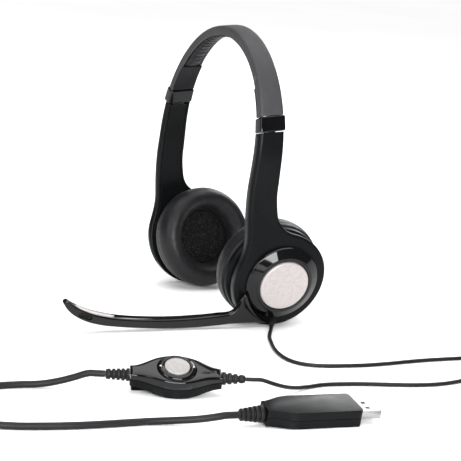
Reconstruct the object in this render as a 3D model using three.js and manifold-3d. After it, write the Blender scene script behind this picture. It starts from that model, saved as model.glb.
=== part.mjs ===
// A wired on-ear headset with a boom microphone, standing on its cups and boom.
// Millimetres, +X is the wearer's right, +Y is forward, +Z is up, z = 0 is the table.
import * as THREE from 'three';
import { mergeVertices } from 'three/addons/utils/BufferGeometryUtils.js';
import Module from 'manifold-3d';

const wasm = await Module();
wasm.setup();

// ---- driving dimensions ----
const GAP = 0.3;
const HEADSET_PITCH = THREE.MathUtils.degToRad(5.5);
const PITCH_PIVOT_Z = 29.4;
const REST_DROP = 0.2;
const ORIGIN_Y = 50.7;

// arch of the headband and arms, measured on its outer surface
const ARCH_HALF_WIDTH = 68.3;
const ARCH_RISE = 71.7;
const ARCH_SPRING_Z = 102;
const COLLAR_LOW = THREE.MathUtils.degToRad(14.6);
const COLLAR_HIGH = THREE.MathUtils.degToRad(21.9);
const ARM_TOP = THREE.MathUtils.degToRad(14.25);
const BAND_END = THREE.MathUtils.degToRad(22.25);
const ADJUSTER_END = THREE.MathUtils.degToRad(38.5);
const BAND_LEAN = 0.158;
const BAND_TAPER = 0.057;
const BAND_Y = 12.5;
const BAND_WIDTH = 17.8;
const BAND_BEND_Z = 82;
const ARM_THICK = 6.3;
const ARM_WALL = 1.5;
const ARM_COVER_THICK = 1.4;

// ear cups: positions along the cup's axis are depths from the silver disc's face
const CUP_TILT = THREE.MathUtils.degToRad(14);
const CUP_TOE = THREE.MathUtils.degToRad(4);
const CUP_CENTRE = new THREE.Vector3(69.8, 0, 27.3);
const SHELL_DEPTH = 5.3;
const SHELL_RADIUS = 29.2;
const SHELL_CENTRE_Z = 29.4;
const DISC_RADIUS = 15.4;
const RING_RADIUS = 23.3;
const RING_BORE = 12.4;
const HOUSING_DEPTH = 15.2;
const HOUSING_RADIUS = 30.5;
const CUSHION_RADIUS = 31.8;
const CUSHION_HOLE = 17.2;
const CUSHION_CREST = 36.5;
const CUP_DROP = 1.5;
const BALL_DEPTH = 10.8;
const BALL_RADIUS = 3;

// cords
const THIN_CORD = 2.2;
const THICK_CORD = 3.6;
const THIN_COIL = { x: -160, y: -98, radius: 12, half: 3.3, height: 6.6 };
const THICK_COIL = { x: -180, y: 250, radius: 20.5, half: 5.4, height: 10.8 };

// in-line control and plug, with the direction of each one's long axis on the table
const CONTROL_CENTRE = new THREE.Vector3(-173.7, 118.8, 9.4);
const CONTROL_TURN = Math.atan2(0.948, 0.318);
const CONTROL_TILT = THREE.MathUtils.degToRad(23);
const CONTROL_HALF_LENGTH = 23.5;
const CONTROL_HALF_WIDTH = 11.2;
const RELIEF_LENGTH = 12;
const PLUG_START = new THREE.Vector3(-228.6, 110.1, 6.1);
const PLUG_TURN = Math.atan2(-0.997, -0.077);
const PLUG_ROLL = THREE.MathUtils.degToRad(9);

// ---- geometry helpers ----
function bare(geometry) {
  const copy = geometry.clone();
  copy.deleteAttribute('normal');
  copy.deleteAttribute('uv');
  copy.clearGroups();
  return mergeVertices(copy, 1e-4);
}

function toSolid(geometry) {
  const merged = bare(geometry);
  const triVerts = new Uint32Array(merged.index.array);
  const vertProperties = new Float32Array(merged.attributes.position.array);
  return new wasm.Manifold(new wasm.Mesh({ numProp: 3, vertProperties, triVerts }));
}

function toGeometry(solid) {
  const mesh = solid.getMesh();
  const geometry = new THREE.BufferGeometry();
  geometry.setAttribute('position', new THREE.BufferAttribute(mesh.vertProperties, 3));
  geometry.setIndex(new THREE.BufferAttribute(mesh.triVerts, 1));
  return geometry;
}

function signedVolume(geometry) {
  const p = geometry.attributes.position;
  const index = geometry.index;
  const [a, b, c] = [new THREE.Vector3(), new THREE.Vector3(), new THREE.Vector3()];
  let sum = 0;
  for (let i = 0; i < index.count; i += 3) {
    a.fromBufferAttribute(p, index.getX(i));
    b.fromBufferAttribute(p, index.getX(i + 1));
    c.fromBufferAttribute(p, index.getX(i + 2));
    sum += a.dot(b.cross(c));
  }
  return sum / 6;
}

function flipped(geometry) {
  const index = geometry.index.array.slice();
  for (let i = 0; i < index.length; i += 3) {
    [index[i + 1], index[i + 2]] = [index[i + 2], index[i + 1]];
  }
  geometry.setIndex(new THREE.BufferAttribute(index, 1));
  return geometry;
}

function facingOut(geometry) {
  const merged = bare(geometry);
  return signedVolume(merged) < 0 ? flipped(merged) : merged;
}

function cut(geometry, ...tools) {
  return toGeometry(tools.reduce((solid, tool) => solid.subtract(toSolid(tool)), toSolid(geometry)));
}

function join(geometry, ...others) {
  return toGeometry(others.reduce((solid, other) => solid.add(toSolid(other)), toSolid(geometry)));
}

function meet(a, b) {
  return toGeometry(toSolid(a).intersect(toSolid(b)));
}

function mirrorX(geometry) {
  const copy = bare(geometry);
  copy.scale(-1, 1, 1);
  return flipped(copy);
}

// a solid of revolution round Z from [radius, z] pairs
function turned(profile, segments = 28) {
  const points = profile.map(([r, z]) => new THREE.Vector2(r, z));
  const geometry = new THREE.LatheGeometry(points, segments);
  geometry.rotateX(Math.PI / 2);
  return facingOut(geometry);
}

// a ring of revolution whose profile closes on itself
function turnedRing(profile, segments = 28) {
  return turned([...profile, profile[0]], segments);
}

// an outline drawn in (x, y), extruded from z0 to z1
function plate(shape, z0, z1, curveSegments = 8) {
  const geometry = new THREE.ExtrudeGeometry(shape, {
    depth: z1 - z0, bevelEnabled: false, curveSegments, steps: 1,
  });
  geometry.translate(0, 0, z0);
  return facingOut(geometry);
}

// an outline drawn in (x, z), extruded along Y
function alongY(shape, y0, y1, curveSegments = 8) {
  const geometry = plate(shape, -y1, -y0, curveSegments);
  geometry.rotateX(Math.PI / 2);
  return geometry;
}

// an outline drawn in (y, z), extruded along X
function alongX(shape, x0, x1, curveSegments = 8) {
  const geometry = plate(shape, x0, x1, curveSegments);
  const axes = new THREE.Matrix4().makeBasis(
    new THREE.Vector3(0, 1, 0), new THREE.Vector3(0, 0, 1), new THREE.Vector3(1, 0, 0));
  geometry.applyMatrix4(axes);
  return geometry;
}

function block(x0, x1, y0, y1, z0, z1) {
  const geometry = new THREE.BoxGeometry(x1 - x0, y1 - y0, z1 - z0);
  geometry.translate((x0 + x1) / 2, (y0 + y1) / 2, (z0 + z1) / 2);
  return facingOut(geometry);
}

// a round bar between two points
function rod(from, to, radius, segments = 20) {
  const geometry = new THREE.CylinderGeometry(radius, radius, from.distanceTo(to), segments);
  const direction = to.clone().sub(from).normalize();
  geometry.applyQuaternion(new THREE.Quaternion().setFromUnitVectors(new THREE.Vector3(0, 1, 0), direction));
  const middle = from.clone().add(to).multiplyScalar(0.5);
  geometry.translate(middle.x, middle.y, middle.z);
  return facingOut(geometry);
}

function shapeOf(points) {
  return new THREE.Shape(points.map(([x, y]) => new THREE.Vector2(x, y)));
}

function material(color, roughness, metalness = 0) {
  return new THREE.MeshStandardMaterial({ color, roughness, metalness });
}

const glossyBlack = () => material(0x0b0b0d, 0.12);
const satinBlack = () => material(0x17171a, 0.38);
const matteBlack = () => material(0x2b2b2e, 0.7);
const innerPlastic = () => material(0x202024, 0.6);
const leatherette = () => material(0x18181b, 0.55);
const silver = () => material(0xd8d0ce, 0.35, 0.6);
const steel = () => material(0xb9bcc0, 0.3, 1);
const cordSheath = () => material(0x141416, 0.5);
const circuitBoard = () => material(0x1f5a34, 0.5);

function part(name, geometry, look) {
  const mesh = new THREE.Mesh(geometry, look);
  mesh.name = name;
  return mesh;
}

// ---- the arch and the arms, seen from the front ----
// A place on the arch's outer surface at an angle above the spring line, with its outward normal.
function archPoint(angle) {
  const x = ARCH_HALF_WIDTH * Math.cos(angle);
  const z = ARCH_SPRING_Z + ARCH_RISE * Math.sin(angle);
  const normal = new THREE.Vector2(ARCH_RISE * Math.cos(angle), ARCH_HALF_WIDTH * Math.sin(angle));
  return { point: new THREE.Vector2(x, z), normal: normal.normalize() };
}

function archRun(from, to, steps) {
  const run = [];
  for (let i = 0; i <= steps; i += 1) {
    run.push(archPoint(from + (to - from) * i / steps));
  }
  return run;
}

// The cup's outer plane meets the vertical arm in a large-radius bend.
function armRun() {
  const bendRadius = 80;
  const planeX = CUP_CENTRE.x - SHELL_DEPTH * Math.cos(CUP_TILT);
  const planeZ = CUP_CENTRE.z + SHELL_DEPTH * Math.sin(CUP_TILT);
  const cornerZ = planeZ + (ARCH_HALF_WIDTH - planeX) / Math.tan(CUP_TILT);
  const tangent = bendRadius * Math.tan(CUP_TILT / 2);
  const centre = new THREE.Vector2(ARCH_HALF_WIDTH - bendRadius, cornerZ + tangent);
  const run = archRun(ARM_TOP, 0, 5);
  for (let i = 0; i <= 4; i += 1) {
    const turn = CUP_TILT * i / 4;
    const normal = new THREE.Vector2(Math.cos(turn), -Math.sin(turn));
    run.push({ point: centre.clone().addScaledVector(normal, bendRadius), normal });
  }
  const last = run[run.length - 1];
  const downPlane = new THREE.Vector2(-Math.sin(CUP_TILT), -Math.cos(CUP_TILT));
  run.push({ point: last.point.clone().addScaledVector(downPlane, 42), normal: last.normal });
  return run;
}

// the layer of a run between two depths below its outer surface
function layer(run, depth0, depth1) {
  const outer = run.map(({ point, normal }) => point.clone().addScaledVector(normal, -depth0));
  const inner = run.map(({ point, normal }) => point.clone().addScaledVector(normal, -depth1));
  return new THREE.Shape([...outer, ...inner.reverse()]);
}

// ---- the band and the arms, seen from the side ----
function bandCentreY(z) {
  return BAND_Y - BAND_LEAN * (z - BAND_BEND_Z);
}

function bandHalfWidth(z) {
  return (BAND_WIDTH - BAND_TAPER * (z - BAND_BEND_Z)) / 2;
}

function bandSide(z0, z1, inset) {
  const corner = (z, side) => [bandCentreY(z) + side * (bandHalfWidth(z) - inset), z];
  return shapeOf([corner(z0, -1), corner(z0, 1), corner(z1, 1), corner(z1, -1)]);
}

// The arm widens at its foot into the round of the cup, in front of the cup's centre.
function armSide(inset, topInset) {
  const radius = SHELL_RADIUS - inset;
  const joinAngle = THREE.MathUtils.degToRad(22);
  const leaveAngle = THREE.MathUtils.degToRad(108);
  const onRound = (angle) => new THREE.Vector2(
    radius * Math.cos(angle), SHELL_CENTRE_Z + radius * Math.sin(angle));
  const front = (z) => new THREE.Vector2(bandCentreY(z) + bandHalfWidth(z) - inset, z);
  const rear = (z) => new THREE.Vector2(bandCentreY(z) - bandHalfWidth(z) + inset, z);
  const topZ = 125 - topInset;
  const start = front(topZ);
  const bendFront = front(BAND_BEND_Z + 6);
  const footFront = new THREE.Vector2(22.2 - inset, 60);
  const joinPoint = onRound(joinAngle);
  const leavePoint = onRound(leaveAngle);
  const rearFoot = new THREE.Vector2(3.3 + inset, 71);
  const bendRear = rear(BAND_BEND_Z + 6);
  const end = rear(topZ);
  const shape = new THREE.Shape();
  shape.moveTo(start.x, start.y);
  shape.lineTo(bendFront.x, bendFront.y);
  shape.bezierCurveTo(bendFront.x + 1.4, bendFront.y - 9, footFront.x, footFront.y + 10,
    footFront.x, footFront.y);
  shape.bezierCurveTo(footFront.x + 0.1, footFront.y - 8, joinPoint.x - 2.6, joinPoint.y + 6.5,
    joinPoint.x, joinPoint.y);
  shape.absarc(0, SHELL_CENTRE_Z, radius, joinAngle, leaveAngle - 2 * Math.PI, true);
  shape.bezierCurveTo(leavePoint.x + 6.5, leavePoint.y + 2.1, rearFoot.x - 0.6, rearFoot.y - 8,
    rearFoot.x, rearFoot.y);
  shape.bezierCurveTo(rearFoot.x + 0.5, rearFoot.y + 6, bendRear.x + 1.2, bendRear.y - 6,
    bendRear.x, bendRear.y);
  shape.lineTo(end.x, end.y);
  return shape;
}

// ---- ear cup frame ----
// Local axes of a cup: x forward (backward on the right), y up, z the depth towards the head.
function cupFrame(side) {
  const outward = new THREE.Vector3(
    side * Math.cos(CUP_TILT) * Math.cos(CUP_TOE),
    Math.cos(CUP_TILT) * Math.sin(CUP_TOE),
    -Math.sin(CUP_TILT));
  const up = new THREE.Vector3(0, 0, 1).addScaledVector(outward, Math.sin(CUP_TILT)).normalize();
  const inward = outward.clone().negate();
  const along = up.clone().cross(inward);
  const frame = new THREE.Matrix4().makeBasis(along, up, inward);
  frame.setPosition(side * CUP_CENTRE.x, CUP_CENTRE.y, CUP_CENTRE.z);
  return frame;
}

function cupGroup(side) {
  const group = new THREE.Group();
  group.applyMatrix4(cupFrame(side));
  return group;
}

// ---- headband ----
function headbandCover() {
  const arch = archRun(BAND_END, Math.PI - BAND_END, 24);
  const outside = meet(alongY(layer(arch, 0, 5.4), -30, 40), alongX(bandSide(118, 176, 0), -80, 80));
  const hollow = meet(alongY(layer(archRun(BAND_END - 0.03, Math.PI - BAND_END + 0.03, 24), 1.4, 7), -30, 40),
    alongX(bandSide(116, 178, 1.3), -90, 90));
  return cut(outside, hollow);
}

function headbandSpring() {
  const arch = archRun(ADJUSTER_END, Math.PI - ADJUSTER_END, 20);
  return meet(alongY(layer(arch, 1.8, 2.5), -30, 40), alongX(bandSide(120, 176, 3), -80, 80));
}

function headbandPad() {
  const start = ADJUSTER_END + 0.012;
  const arch = archRun(start, Math.PI - start, 20);
  return meet(alongY(layer(arch, 2.9, 6.9), -30, 40), alongX(bandSide(120, 176, 1.7), -80, 80));
}

function adjusterCover() {
  const arch = archRun(BAND_END + 0.004, ADJUSTER_END, 8);
  return meet(alongY(layer(arch, 5.75, 6.95), -30, 40), alongX(bandSide(118, 176, 0.2), -80, 80));
}

// The strip lies along the arch's tangent at the middle of the collar.
const STRIP_DEPTH = 5.1;
const STRIP_HALF_THICK = 0.45;
const STRIP_HALF_WIDTH = 4;
const STRIP_UP = 19.6;
const STRIP_DOWN = 17;

function stripFrame() {
  const { point, normal } = archPoint((COLLAR_LOW + COLLAR_HIGH) / 2);
  const middle = point.clone().addScaledVector(normal, -STRIP_DEPTH);
  const lean = Math.atan(BAND_LEAN) * 0.95;
  const out = new THREE.Vector3(normal.x, 0, normal.y);
  const tangent = new THREE.Vector3(-normal.y, -Math.sin(lean), normal.x).normalize();
  const across = tangent.clone().cross(out).normalize();
  const frame = new THREE.Matrix4().makeBasis(out, across, tangent);
  frame.setPosition(middle.x, bandCentreY(middle.y), middle.y);
  return frame;
}

function stripBlock(halfThick, halfWidth, down, up) {
  const geometry = block(-halfThick, halfThick, -halfWidth, halfWidth, -down, up);
  geometry.applyMatrix4(stripFrame());
  return geometry;
}

function collar() {
  const arch = archRun(COLLAR_LOW, COLLAR_HIGH, 3);
  const body = meet(alongY(layer(arch, -0.45, 7.3), -30, 40), alongX(bandSide(112, 136, -0.45), 0, 90));
  const slot = stripBlock(STRIP_HALF_THICK + GAP, STRIP_HALF_WIDTH + GAP, 14, 14);
  return cut(body, slot);
}

function sliderStrip() {
  return stripBlock(STRIP_HALF_THICK, STRIP_HALF_WIDTH, STRIP_DOWN, STRIP_UP);
}

function sliderScrew() {
  const head = new THREE.CylinderGeometry(1.6, 1.6, 0.9, 16);
  head.rotateZ(Math.PI / 2);
  head.translate(-1.25, 0, -13.5);
  head.applyMatrix4(stripFrame());
  return facingOut(head);
}

// ---- arms ----
// Each arm is slanted a little across its width, so that its foot faces the way its cup does.
function toed(geometry) {
  geometry.applyMatrix4(new THREE.Matrix4().makeShear(0, 0, -Math.tan(CUP_TOE), 0, 0, 0));
  return geometry;
}

function armShell() {
  const run = armRun();
  const body = toed(meet(alongY(layer(run, 0, ARM_THICK), -45, 45), alongX(armSide(0, 0), 40, 90, 9)));
  const hollow = toed(meet(alongY(layer(run, ARM_WALL, ARM_THICK + 3), -45, 45),
    alongX(armSide(1.7, 7.5), 30, 90, 9)));
  const stripSlot = stripBlock(STRIP_HALF_THICK + 0.35, STRIP_HALF_WIDTH + 0.35, STRIP_DOWN + 1, 8);
  const seat = plate(new THREE.Shape().absarc(0, 0, RING_RADIUS + 0.6, 0, 2 * Math.PI), SHELL_DEPTH, 9, 14);
  const hollowSeat = turned([[0, SHELL_DEPTH + ARM_WALL], [20.5, SHELL_DEPTH + ARM_WALL], [20.5, 14], [0, 14]]);
  seat.applyMatrix4(cupFrame(1));
  hollowSeat.applyMatrix4(cupFrame(1));
  return cut(join(cut(body, hollow), seat), hollowSeat, stripSlot);
}

function armCover() {
  const run = armRun();
  const depth0 = ARM_THICK - ARM_COVER_THICK;
  const sheet = toed(meet(alongY(layer(run, depth0, ARM_THICK), -45, 45),
    alongX(armSide(1.7 + 1.5 * GAP, 8), 30, 90, 9)));
  const socket = turned([[0, 5], [BALL_RADIUS + 0.6, 5], [BALL_RADIUS + 0.6, 15], [0, 15]], 20);
  socket.translate(0, -CUP_DROP, 0);
  socket.applyMatrix4(cupFrame(1));
  const stripRoom = stripBlock(2.4, STRIP_HALF_WIDTH + 0.6, STRIP_DOWN + 1, 8);
  return cut(sheet, socket, stripRoom);
}

// ---- ear cup pieces, turned about the cup's axis ----
function silverDisc() {
  return turned([[0, 0], [DISC_RADIUS - 0.6, 0], [DISC_RADIUS, 0.5], [DISC_RADIUS, 2.5],
    [RING_BORE - 0.4, 2.5], [RING_BORE - 0.4, SHELL_DEPTH - GAP], [0, SHELL_DEPTH - GAP]], 32);
}

function hubRing() {
  return turnedRing([[RING_BORE, SHELL_DEPTH - GAP], [RING_BORE, 2.9], [DISC_RADIUS + 0.4, 2.9],
    [DISC_RADIUS + 0.4, 1.0], [17.6, 0.9], [RING_RADIUS - 0.3, 4.2], [RING_RADIUS, SHELL_DEPTH - GAP]], 32);
}

function cupBall() {
  const ball = new THREE.SphereGeometry(BALL_RADIUS, 12, 8);
  ball.translate(0, -CUP_DROP, BALL_DEPTH);
  return facingOut(ball);
}

function cupHousing() {
  const front = HOUSING_DEPTH;
  const rim = HOUSING_RADIUS;
  const shell = turned([[0, front], [24, front], [rim - 0.4, front + 2.6], [rim, front + 5.2],
    [rim - 1.9, front + 5.2], [rim - 2.1, front + 3.4], [23.4, front + 1.5], [0, front + 1.5]]);
  const ballTop = BALL_DEPTH + BALL_RADIUS + GAP;
  const stem = turned([[0, ballTop], [2, ballTop], [2, front + 0.5], [0, front + 0.5]], 10);
  return join(shell, stem);
}

function driverBaffle() {
  return turnedRing([[14.9, 19.2], [14.9, 20.4], [28.1, 20.4], [28.1, 19.2]]);
}

function driverMagnet() {
  return turned([[0, 17.1], [6.5, 17.1], [6.5, 19.2], [14.5, 19.6], [14.5, 20.6], [0, 20.6]], 20);
}

function driverDiaphragm() {
  return turned([[0, 21.9], [5, 21.5], [8, 21.0], [13.5, 21.3], [13.5, 20.95], [0, 20.95]], 20);
}

function clothDisc() {
  const radius = CUSHION_HOLE - GAP;
  return turned([[0, 24], [radius, 24], [radius, 24.9], [0, 24.9]], 28);
}

function earCushion() {
  const crest = CUSHION_CREST;
  const rim = CUSHION_RADIUS;
  return turnedRing([[CUSHION_HOLE, 20.9], [CUSHION_HOLE, 26.5], [19, 31.5], [21.8, crest - 1.2],
    [24.8, crest], [27.8, crest - 1.3], [30.4, 31.5], [rim, 26.5], [rim - 0.6, 22], [30, 20.9]]);
}

// ---- boom microphone, in the left cup's frame ----
const BOOM_FRONT = 1;

function boomSide() {
  const shape = new THREE.Shape();
  shape.moveTo(23.4, -3.6);
  shape.bezierCurveTo(25.5, -7, 27, -15, 35, -15.6);
  shape.bezierCurveTo(60, -16.6, 86, -13.6, 106, -8.8);
  shape.bezierCurveTo(117, -5.8, 126, -1.5, 132.4, 4.4);
  shape.bezierCurveTo(134.2, 5.6, 136.2, 4.2, 135.2, 2.2);
  shape.bezierCurveTo(131, -5.5, 120, -11.5, 106, -14.4);
  shape.bezierCurveTo(84, -19.2, 60, -22.6, 35, -22.6);
  shape.bezierCurveTo(24, -22.9, 14, -24.4, 8, -24.4);
  shape.bezierCurveTo(14, -22, 20, -15, 23.4, -3.6);
  return shape;
}

function boomPlan() {
  return shapeOf([[5, 1.3], [30, 1.2], [60, BOOM_FRONT], [118, 0.8], [128, 1.2], [134, 2.6], [136.5, 4.6],
    [134, 6.8], [128, 7.8], [118, 8], [90, 7.2], [60, 6.8], [40, 6.4], [33, 5], [5, SHELL_DEPTH - GAP]]);
}

// an outline drawn in (x, depth), extruded along the cup's up axis
function alongUp(shape, y0, y1) {
  const geometry = plate(shape, -y1, -y0);
  geometry.rotateX(Math.PI / 2);
  return geometry;
}

// the strip just under the boom's top edge, near its tip
function inlayOutline(depth, ends) {
  const edge = new THREE.CubicBezierCurve(new THREE.Vector2(106, -8.8), new THREE.Vector2(117, -5.8),
    new THREE.Vector2(126, -1.5), new THREE.Vector2(132.4, 4.4));
  const above = [];
  const below = [];
  for (let i = 0; i <= 8; i += 1) {
    const run = (-0.1 + 0.9 * i / 8) + (i === 0 ? -ends : 0) + (i === 8 ? ends : 0);
    const point = run < 0 ? edge.getPoint(0).addScaledVector(edge.getTangent(0), 30 * run) : edge.getPoint(run);
    const along = edge.getTangent(Math.max(run, 0));
    const normal = new THREE.Vector2(-along.y, along.x);
    above.push(point.clone().addScaledVector(normal, 2));
    below.unshift(point.clone().addScaledVector(normal, -depth));
  }
  return new THREE.Shape([...above, ...below]);
}

const MIC_X = 123;
const MIC_Y = -5.2;

function boomArm() {
  const solid = meet(plate(boomSide(), 0, 10, 10), alongUp(boomPlan(), -30, 12));
  const ringRoom = turned([[0, 0], [RING_RADIUS + GAP, 0], [RING_RADIUS + GAP, 6], [0, 6]], 32);
  const inlayPocket = plate(inlayOutline(0.9 + GAP, 0.012), 2.6 - GAP, 6.2 + GAP);
  return cut(solid, ringRoom, inlayPocket, micPocket());
}

function boomInlay() {
  const strip = plate(inlayOutline(0.9, 0), 2.6, 6.2);
  return meet(strip, meet(plate(boomSide(), 0, 10, 10), alongUp(boomPlan(), -30, 12)));
}

function slotShape(halfLength, radius) {
  const turn = 0.42;
  const [dx, dy] = [halfLength * Math.cos(turn), halfLength * Math.sin(turn)];
  const shape = new THREE.Shape();
  shape.absarc(MIC_X + dx, MIC_Y + dy, radius, turn - Math.PI / 2, turn + Math.PI / 2, false);
  shape.absarc(MIC_X - dx, MIC_Y - dy, radius, turn + Math.PI / 2, turn + 3 * Math.PI / 2, false);
  return shape;
}

function micPocket() {
  return plate(slotShape(3, 1.5), -1, 5.2, 6);
}

function micGrille() {
  return plate(slotShape(3, 1.2), 1.2, 2.0, 6);
}

function micCapsule() {
  const capsule = turned([[0, 2.4], [1.2, 2.4], [1.2, 4.7], [0, 4.7]], 16);
  capsule.translate(MIC_X, MIC_Y, 0);
  return capsule;
}

// ---- cord gland under the left cup, in the left cup's frame ----
const GLAND_BASE = new THREE.Vector3(3, -25.6, SHELL_DEPTH - GAP);
const GLAND_TIP = new THREE.Vector3(6.5, -24.65, -1.6);

function cordGland() {
  const length = GLAND_BASE.distanceTo(GLAND_TIP);
  const cone = turned([[0, 0], [1.9, 0], [1.9, 1.2], [1.5, length], [0, length]], 14);
  const direction = GLAND_TIP.clone().sub(GLAND_BASE).normalize();
  cone.applyQuaternion(new THREE.Quaternion().setFromUnitVectors(new THREE.Vector3(0, 0, 1), direction));
  cone.translate(GLAND_BASE.x, GLAND_BASE.y, GLAND_BASE.z);
  const behind = block(-5, 12, -33, -20, SHELL_DEPTH - GAP, 9);
  return cut(cone, behind);
}

// ---- in-line control: x runs from the thin cord's end to the thick cord's end ----
const CLIP_Y = -3.2;
const CLIP_PIN_X = 11.5;
const CLIP_PIN_Z = -7.2;

function pinPoint(offset) {
  return new THREE.Vector3(CLIP_PIN_X, CLIP_Y + offset, CLIP_PIN_Z);
}

function controlOutline(inset) {
  const half = CONTROL_HALF_LENGTH - inset;
  const wide = CONTROL_HALF_WIDTH - inset;
  const end = 4.2 - inset;
  const shape = new THREE.Shape();
  shape.moveTo(-half, -end);
  shape.bezierCurveTo(-half + 8, -end, -10, -wide, 0, -wide);
  shape.bezierCurveTo(10, -wide, half - 8, -end, half, -end);
  shape.lineTo(half, end);
  shape.bezierCurveTo(half - 8, end, 10, wide, 0, wide);
  shape.bezierCurveTo(-10, wide, -half + 8, end, -half, end);
  return shape;
}

function controlProfile(z0, z1) {
  const half = CONTROL_HALF_LENGTH + 1;
  return shapeOf([[-half, 0], [-half, 3.4 * z1], [-14, 4.6 * z1], [-10, 5.2 * z1], [10, 5.2 * z1],
    [14, 4.6 * z1], [half, 3.4 * z1], [half, 0]].map(([x, z]) => [x, z + z0]));
}

function controlTop() {
  const body = meet(plate(controlOutline(0), 0.15, 6, 10), alongY(controlProfile(0.15, 1), -15, 15));
  const hollow = plate(controlOutline(1.5), -1, 3, 10);
  const rockerHole = turned([[0, -1], [10.3, -1], [10.3, 8], [0, 8]]);
  const cordEnds = plate(shapeOf([[-30, -2.1], [30, -2.1], [30, 2.1], [-30, 2.1]]), -1, 2.2);
  return cut(body, hollow, rockerHole, cordEnds);
}

function controlBottom() {
  const body = meet(plate(controlOutline(0), -6, -0.15, 10), alongY(controlProfile(-0.15, -1), -15, 15));
  const hollow = plate(controlOutline(1.5), -3.8, 1, 10);
  const cordEnds = plate(shapeOf([[-30, -2.1], [30, -2.1], [30, 2.1], [-30, 2.1]]), -2.2, 1);
  const ears = [-2.6, 2.6].map((y) => join(rod(pinPoint(y - 0.7), pinPoint(y + 0.7), 1, 14),
    block(CLIP_PIN_X - 1, CLIP_PIN_X + 1, CLIP_Y + y - 0.7, CLIP_Y + y + 0.7, CLIP_PIN_Z, -4.4)));
  const pinHole = rod(pinPoint(-5), pinPoint(5), 0.75, 14);
  return cut(join(cut(body, hollow, cordEnds), ...ears), pinHole);
}

function controlBoard() {
  return block(-14, 14, -4.4, 4.4, -2.6, -1.6);
}

function volumeRocker() {
  return turnedRing([[6.9, 2.6], [6.9, 6.6], [8, 6.9], [9.4, 6.2], [9.9, 5.2], [9.9, 2.6]]);
}

function muteButton() {
  return turned([[0, 1.2], [2, 1.2], [2, 4], [6.5, 4], [6.5, 6.8], [6, 7.1], [0, 7.3]], 24);
}

function muteSwitch() {
  return block(-2.2, 2.2, -2.2, 2.2, -1.3, 0.1);
}

function controlClip() {
  const body = alongY(shapeOf([[22, -8.5], [-11.5, -8.5], [-14.4, -7.5], [-16.6, -5.7], [-18, -5.8],
    [-15.6, -8.3], [-12.2, -9.5], [22, -9.5]]), CLIP_Y - 4, CLIP_Y + 4);
  const barrel = rod(pinPoint(-1.6), pinPoint(1.6), 1.45, 14);
  const pinHole = rod(pinPoint(-8), pinPoint(8), 0.75, 14);
  return cut(join(body, barrel), pinHole);
}

function clipPin() {
  return rod(pinPoint(-3.6), pinPoint(3.6), 0.5, 12);
}

// A finned strain relief: rings along x that get smaller away from the housing.
function finnedRelief(length, startRadius, endRadius, fins) {
  const profile = [[0, 0]];
  const pitch = length / fins;
  for (let i = 0; i < fins; i += 1) {
    const radius = startRadius + (endRadius - startRadius) * i / (fins - 1);
    profile.push([radius, i * pitch], [radius, i * pitch + pitch * 0.6]);
    if (i < fins - 1) {
      profile.push([radius - 0.9, i * pitch + pitch * 0.6], [radius - 0.9, (i + 1) * pitch]);
    }
  }
  profile.push([endRadius - 0.5, length], [0, length]);
  const relief = turned(profile, 10);
  relief.rotateY(Math.PI / 2);
  return relief;
}

// ---- USB plug: x runs from the cord to the contacts ----
const PLUG_BODY_X = 12.4;
const PLUG_BODY_END = 62;
const PLUG_METAL_END = 74;

function plugOutline(inset) {
  const wide = 9.6 - inset;
  const neck = 5 - inset;
  const [x0, x1] = [PLUG_BODY_X + inset, PLUG_BODY_END - inset];
  const shape = new THREE.Shape();
  shape.moveTo(x0, -neck);
  shape.bezierCurveTo(x0 + 5, -neck, x0 + 9, -wide, x0 + 16, -wide);
  shape.lineTo(x1 - 2, -wide);
  shape.quadraticCurveTo(x1, -wide, x1, -wide + 2);
  shape.lineTo(x1, wide - 2);
  shape.quadraticCurveTo(x1, wide, x1 - 2, wide);
  shape.lineTo(x0 + 16, wide);
  shape.bezierCurveTo(x0 + 9, wide, x0 + 5, neck, x0, neck);
  return shape;
}

function plugHalf(side) {
  const z0 = side > 0 ? 0.12 : -4.4;
  const z1 = side > 0 ? 4.4 : -0.12;
  const body = plate(plugOutline(0), z0, z1, 6);
  const hollow = plate(plugOutline(1.5), side > 0 ? -1 : -3.1, side > 0 ? 3.1 : 1, 6);
  const mouth = block(PLUG_BODY_END - 4, PLUG_BODY_END + 4, -6.35, 6.35, -2.6, 2.6);
  const cordEnd = block(PLUG_BODY_X - 2, PLUG_BODY_X + 4, -2.4, 2.4, -2.4, 2.4);
  return cut(body, hollow, mouth, cordEnd);
}

function usbShell() {
  const outside = block(PLUG_BODY_END - 12, PLUG_METAL_END, -6, 6, -2.25, 2.25);
  const inside = block(PLUG_BODY_END - 13, PLUG_METAL_END + 1, -5.7, 5.7, -1.95, 1.95);
  const holes = [-1, 1].map((side) => block(PLUG_METAL_END - 7.6, PLUG_METAL_END - 5.4,
    side * 2.8 - 1.2, side * 2.8 + 1.2, -4, 4));
  return cut(outside, inside, ...holes);
}

function usbTongue() {
  return block(PLUG_BODY_END - 6, PLUG_METAL_END - 0.8, -5.4, 5.4, -1.65, 0.1);
}

function plugBoard() {
  return block(PLUG_BODY_X + 12, PLUG_BODY_END - 13, -6, 6, -0.5, 0.5);
}

function plugRelief() {
  return finnedRelief(PLUG_BODY_X - GAP, 3.1, 4.3, 5);
}

// ---- cords on the table ----
// a point on the control's long axis, on the side of one cord's relief
function onControlAxis(side, distance) {
  const reach = side * (CONTROL_HALF_LENGTH + RELIEF_LENGTH + 2 * GAP + distance);
  return [CONTROL_CENTRE.x + reach * Math.cos(CONTROL_TURN),
    CONTROL_CENTRE.y + reach * Math.sin(CONTROL_TURN), CONTROL_CENTRE.z];
}

// a point on the plug's long axis, behind its relief
function behindPlug(distance) {
  return [PLUG_START.x - (distance + GAP) * Math.cos(PLUG_TURN),
    PLUG_START.y - (distance + GAP) * Math.sin(PLUG_TURN), PLUG_START.z];
}

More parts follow.
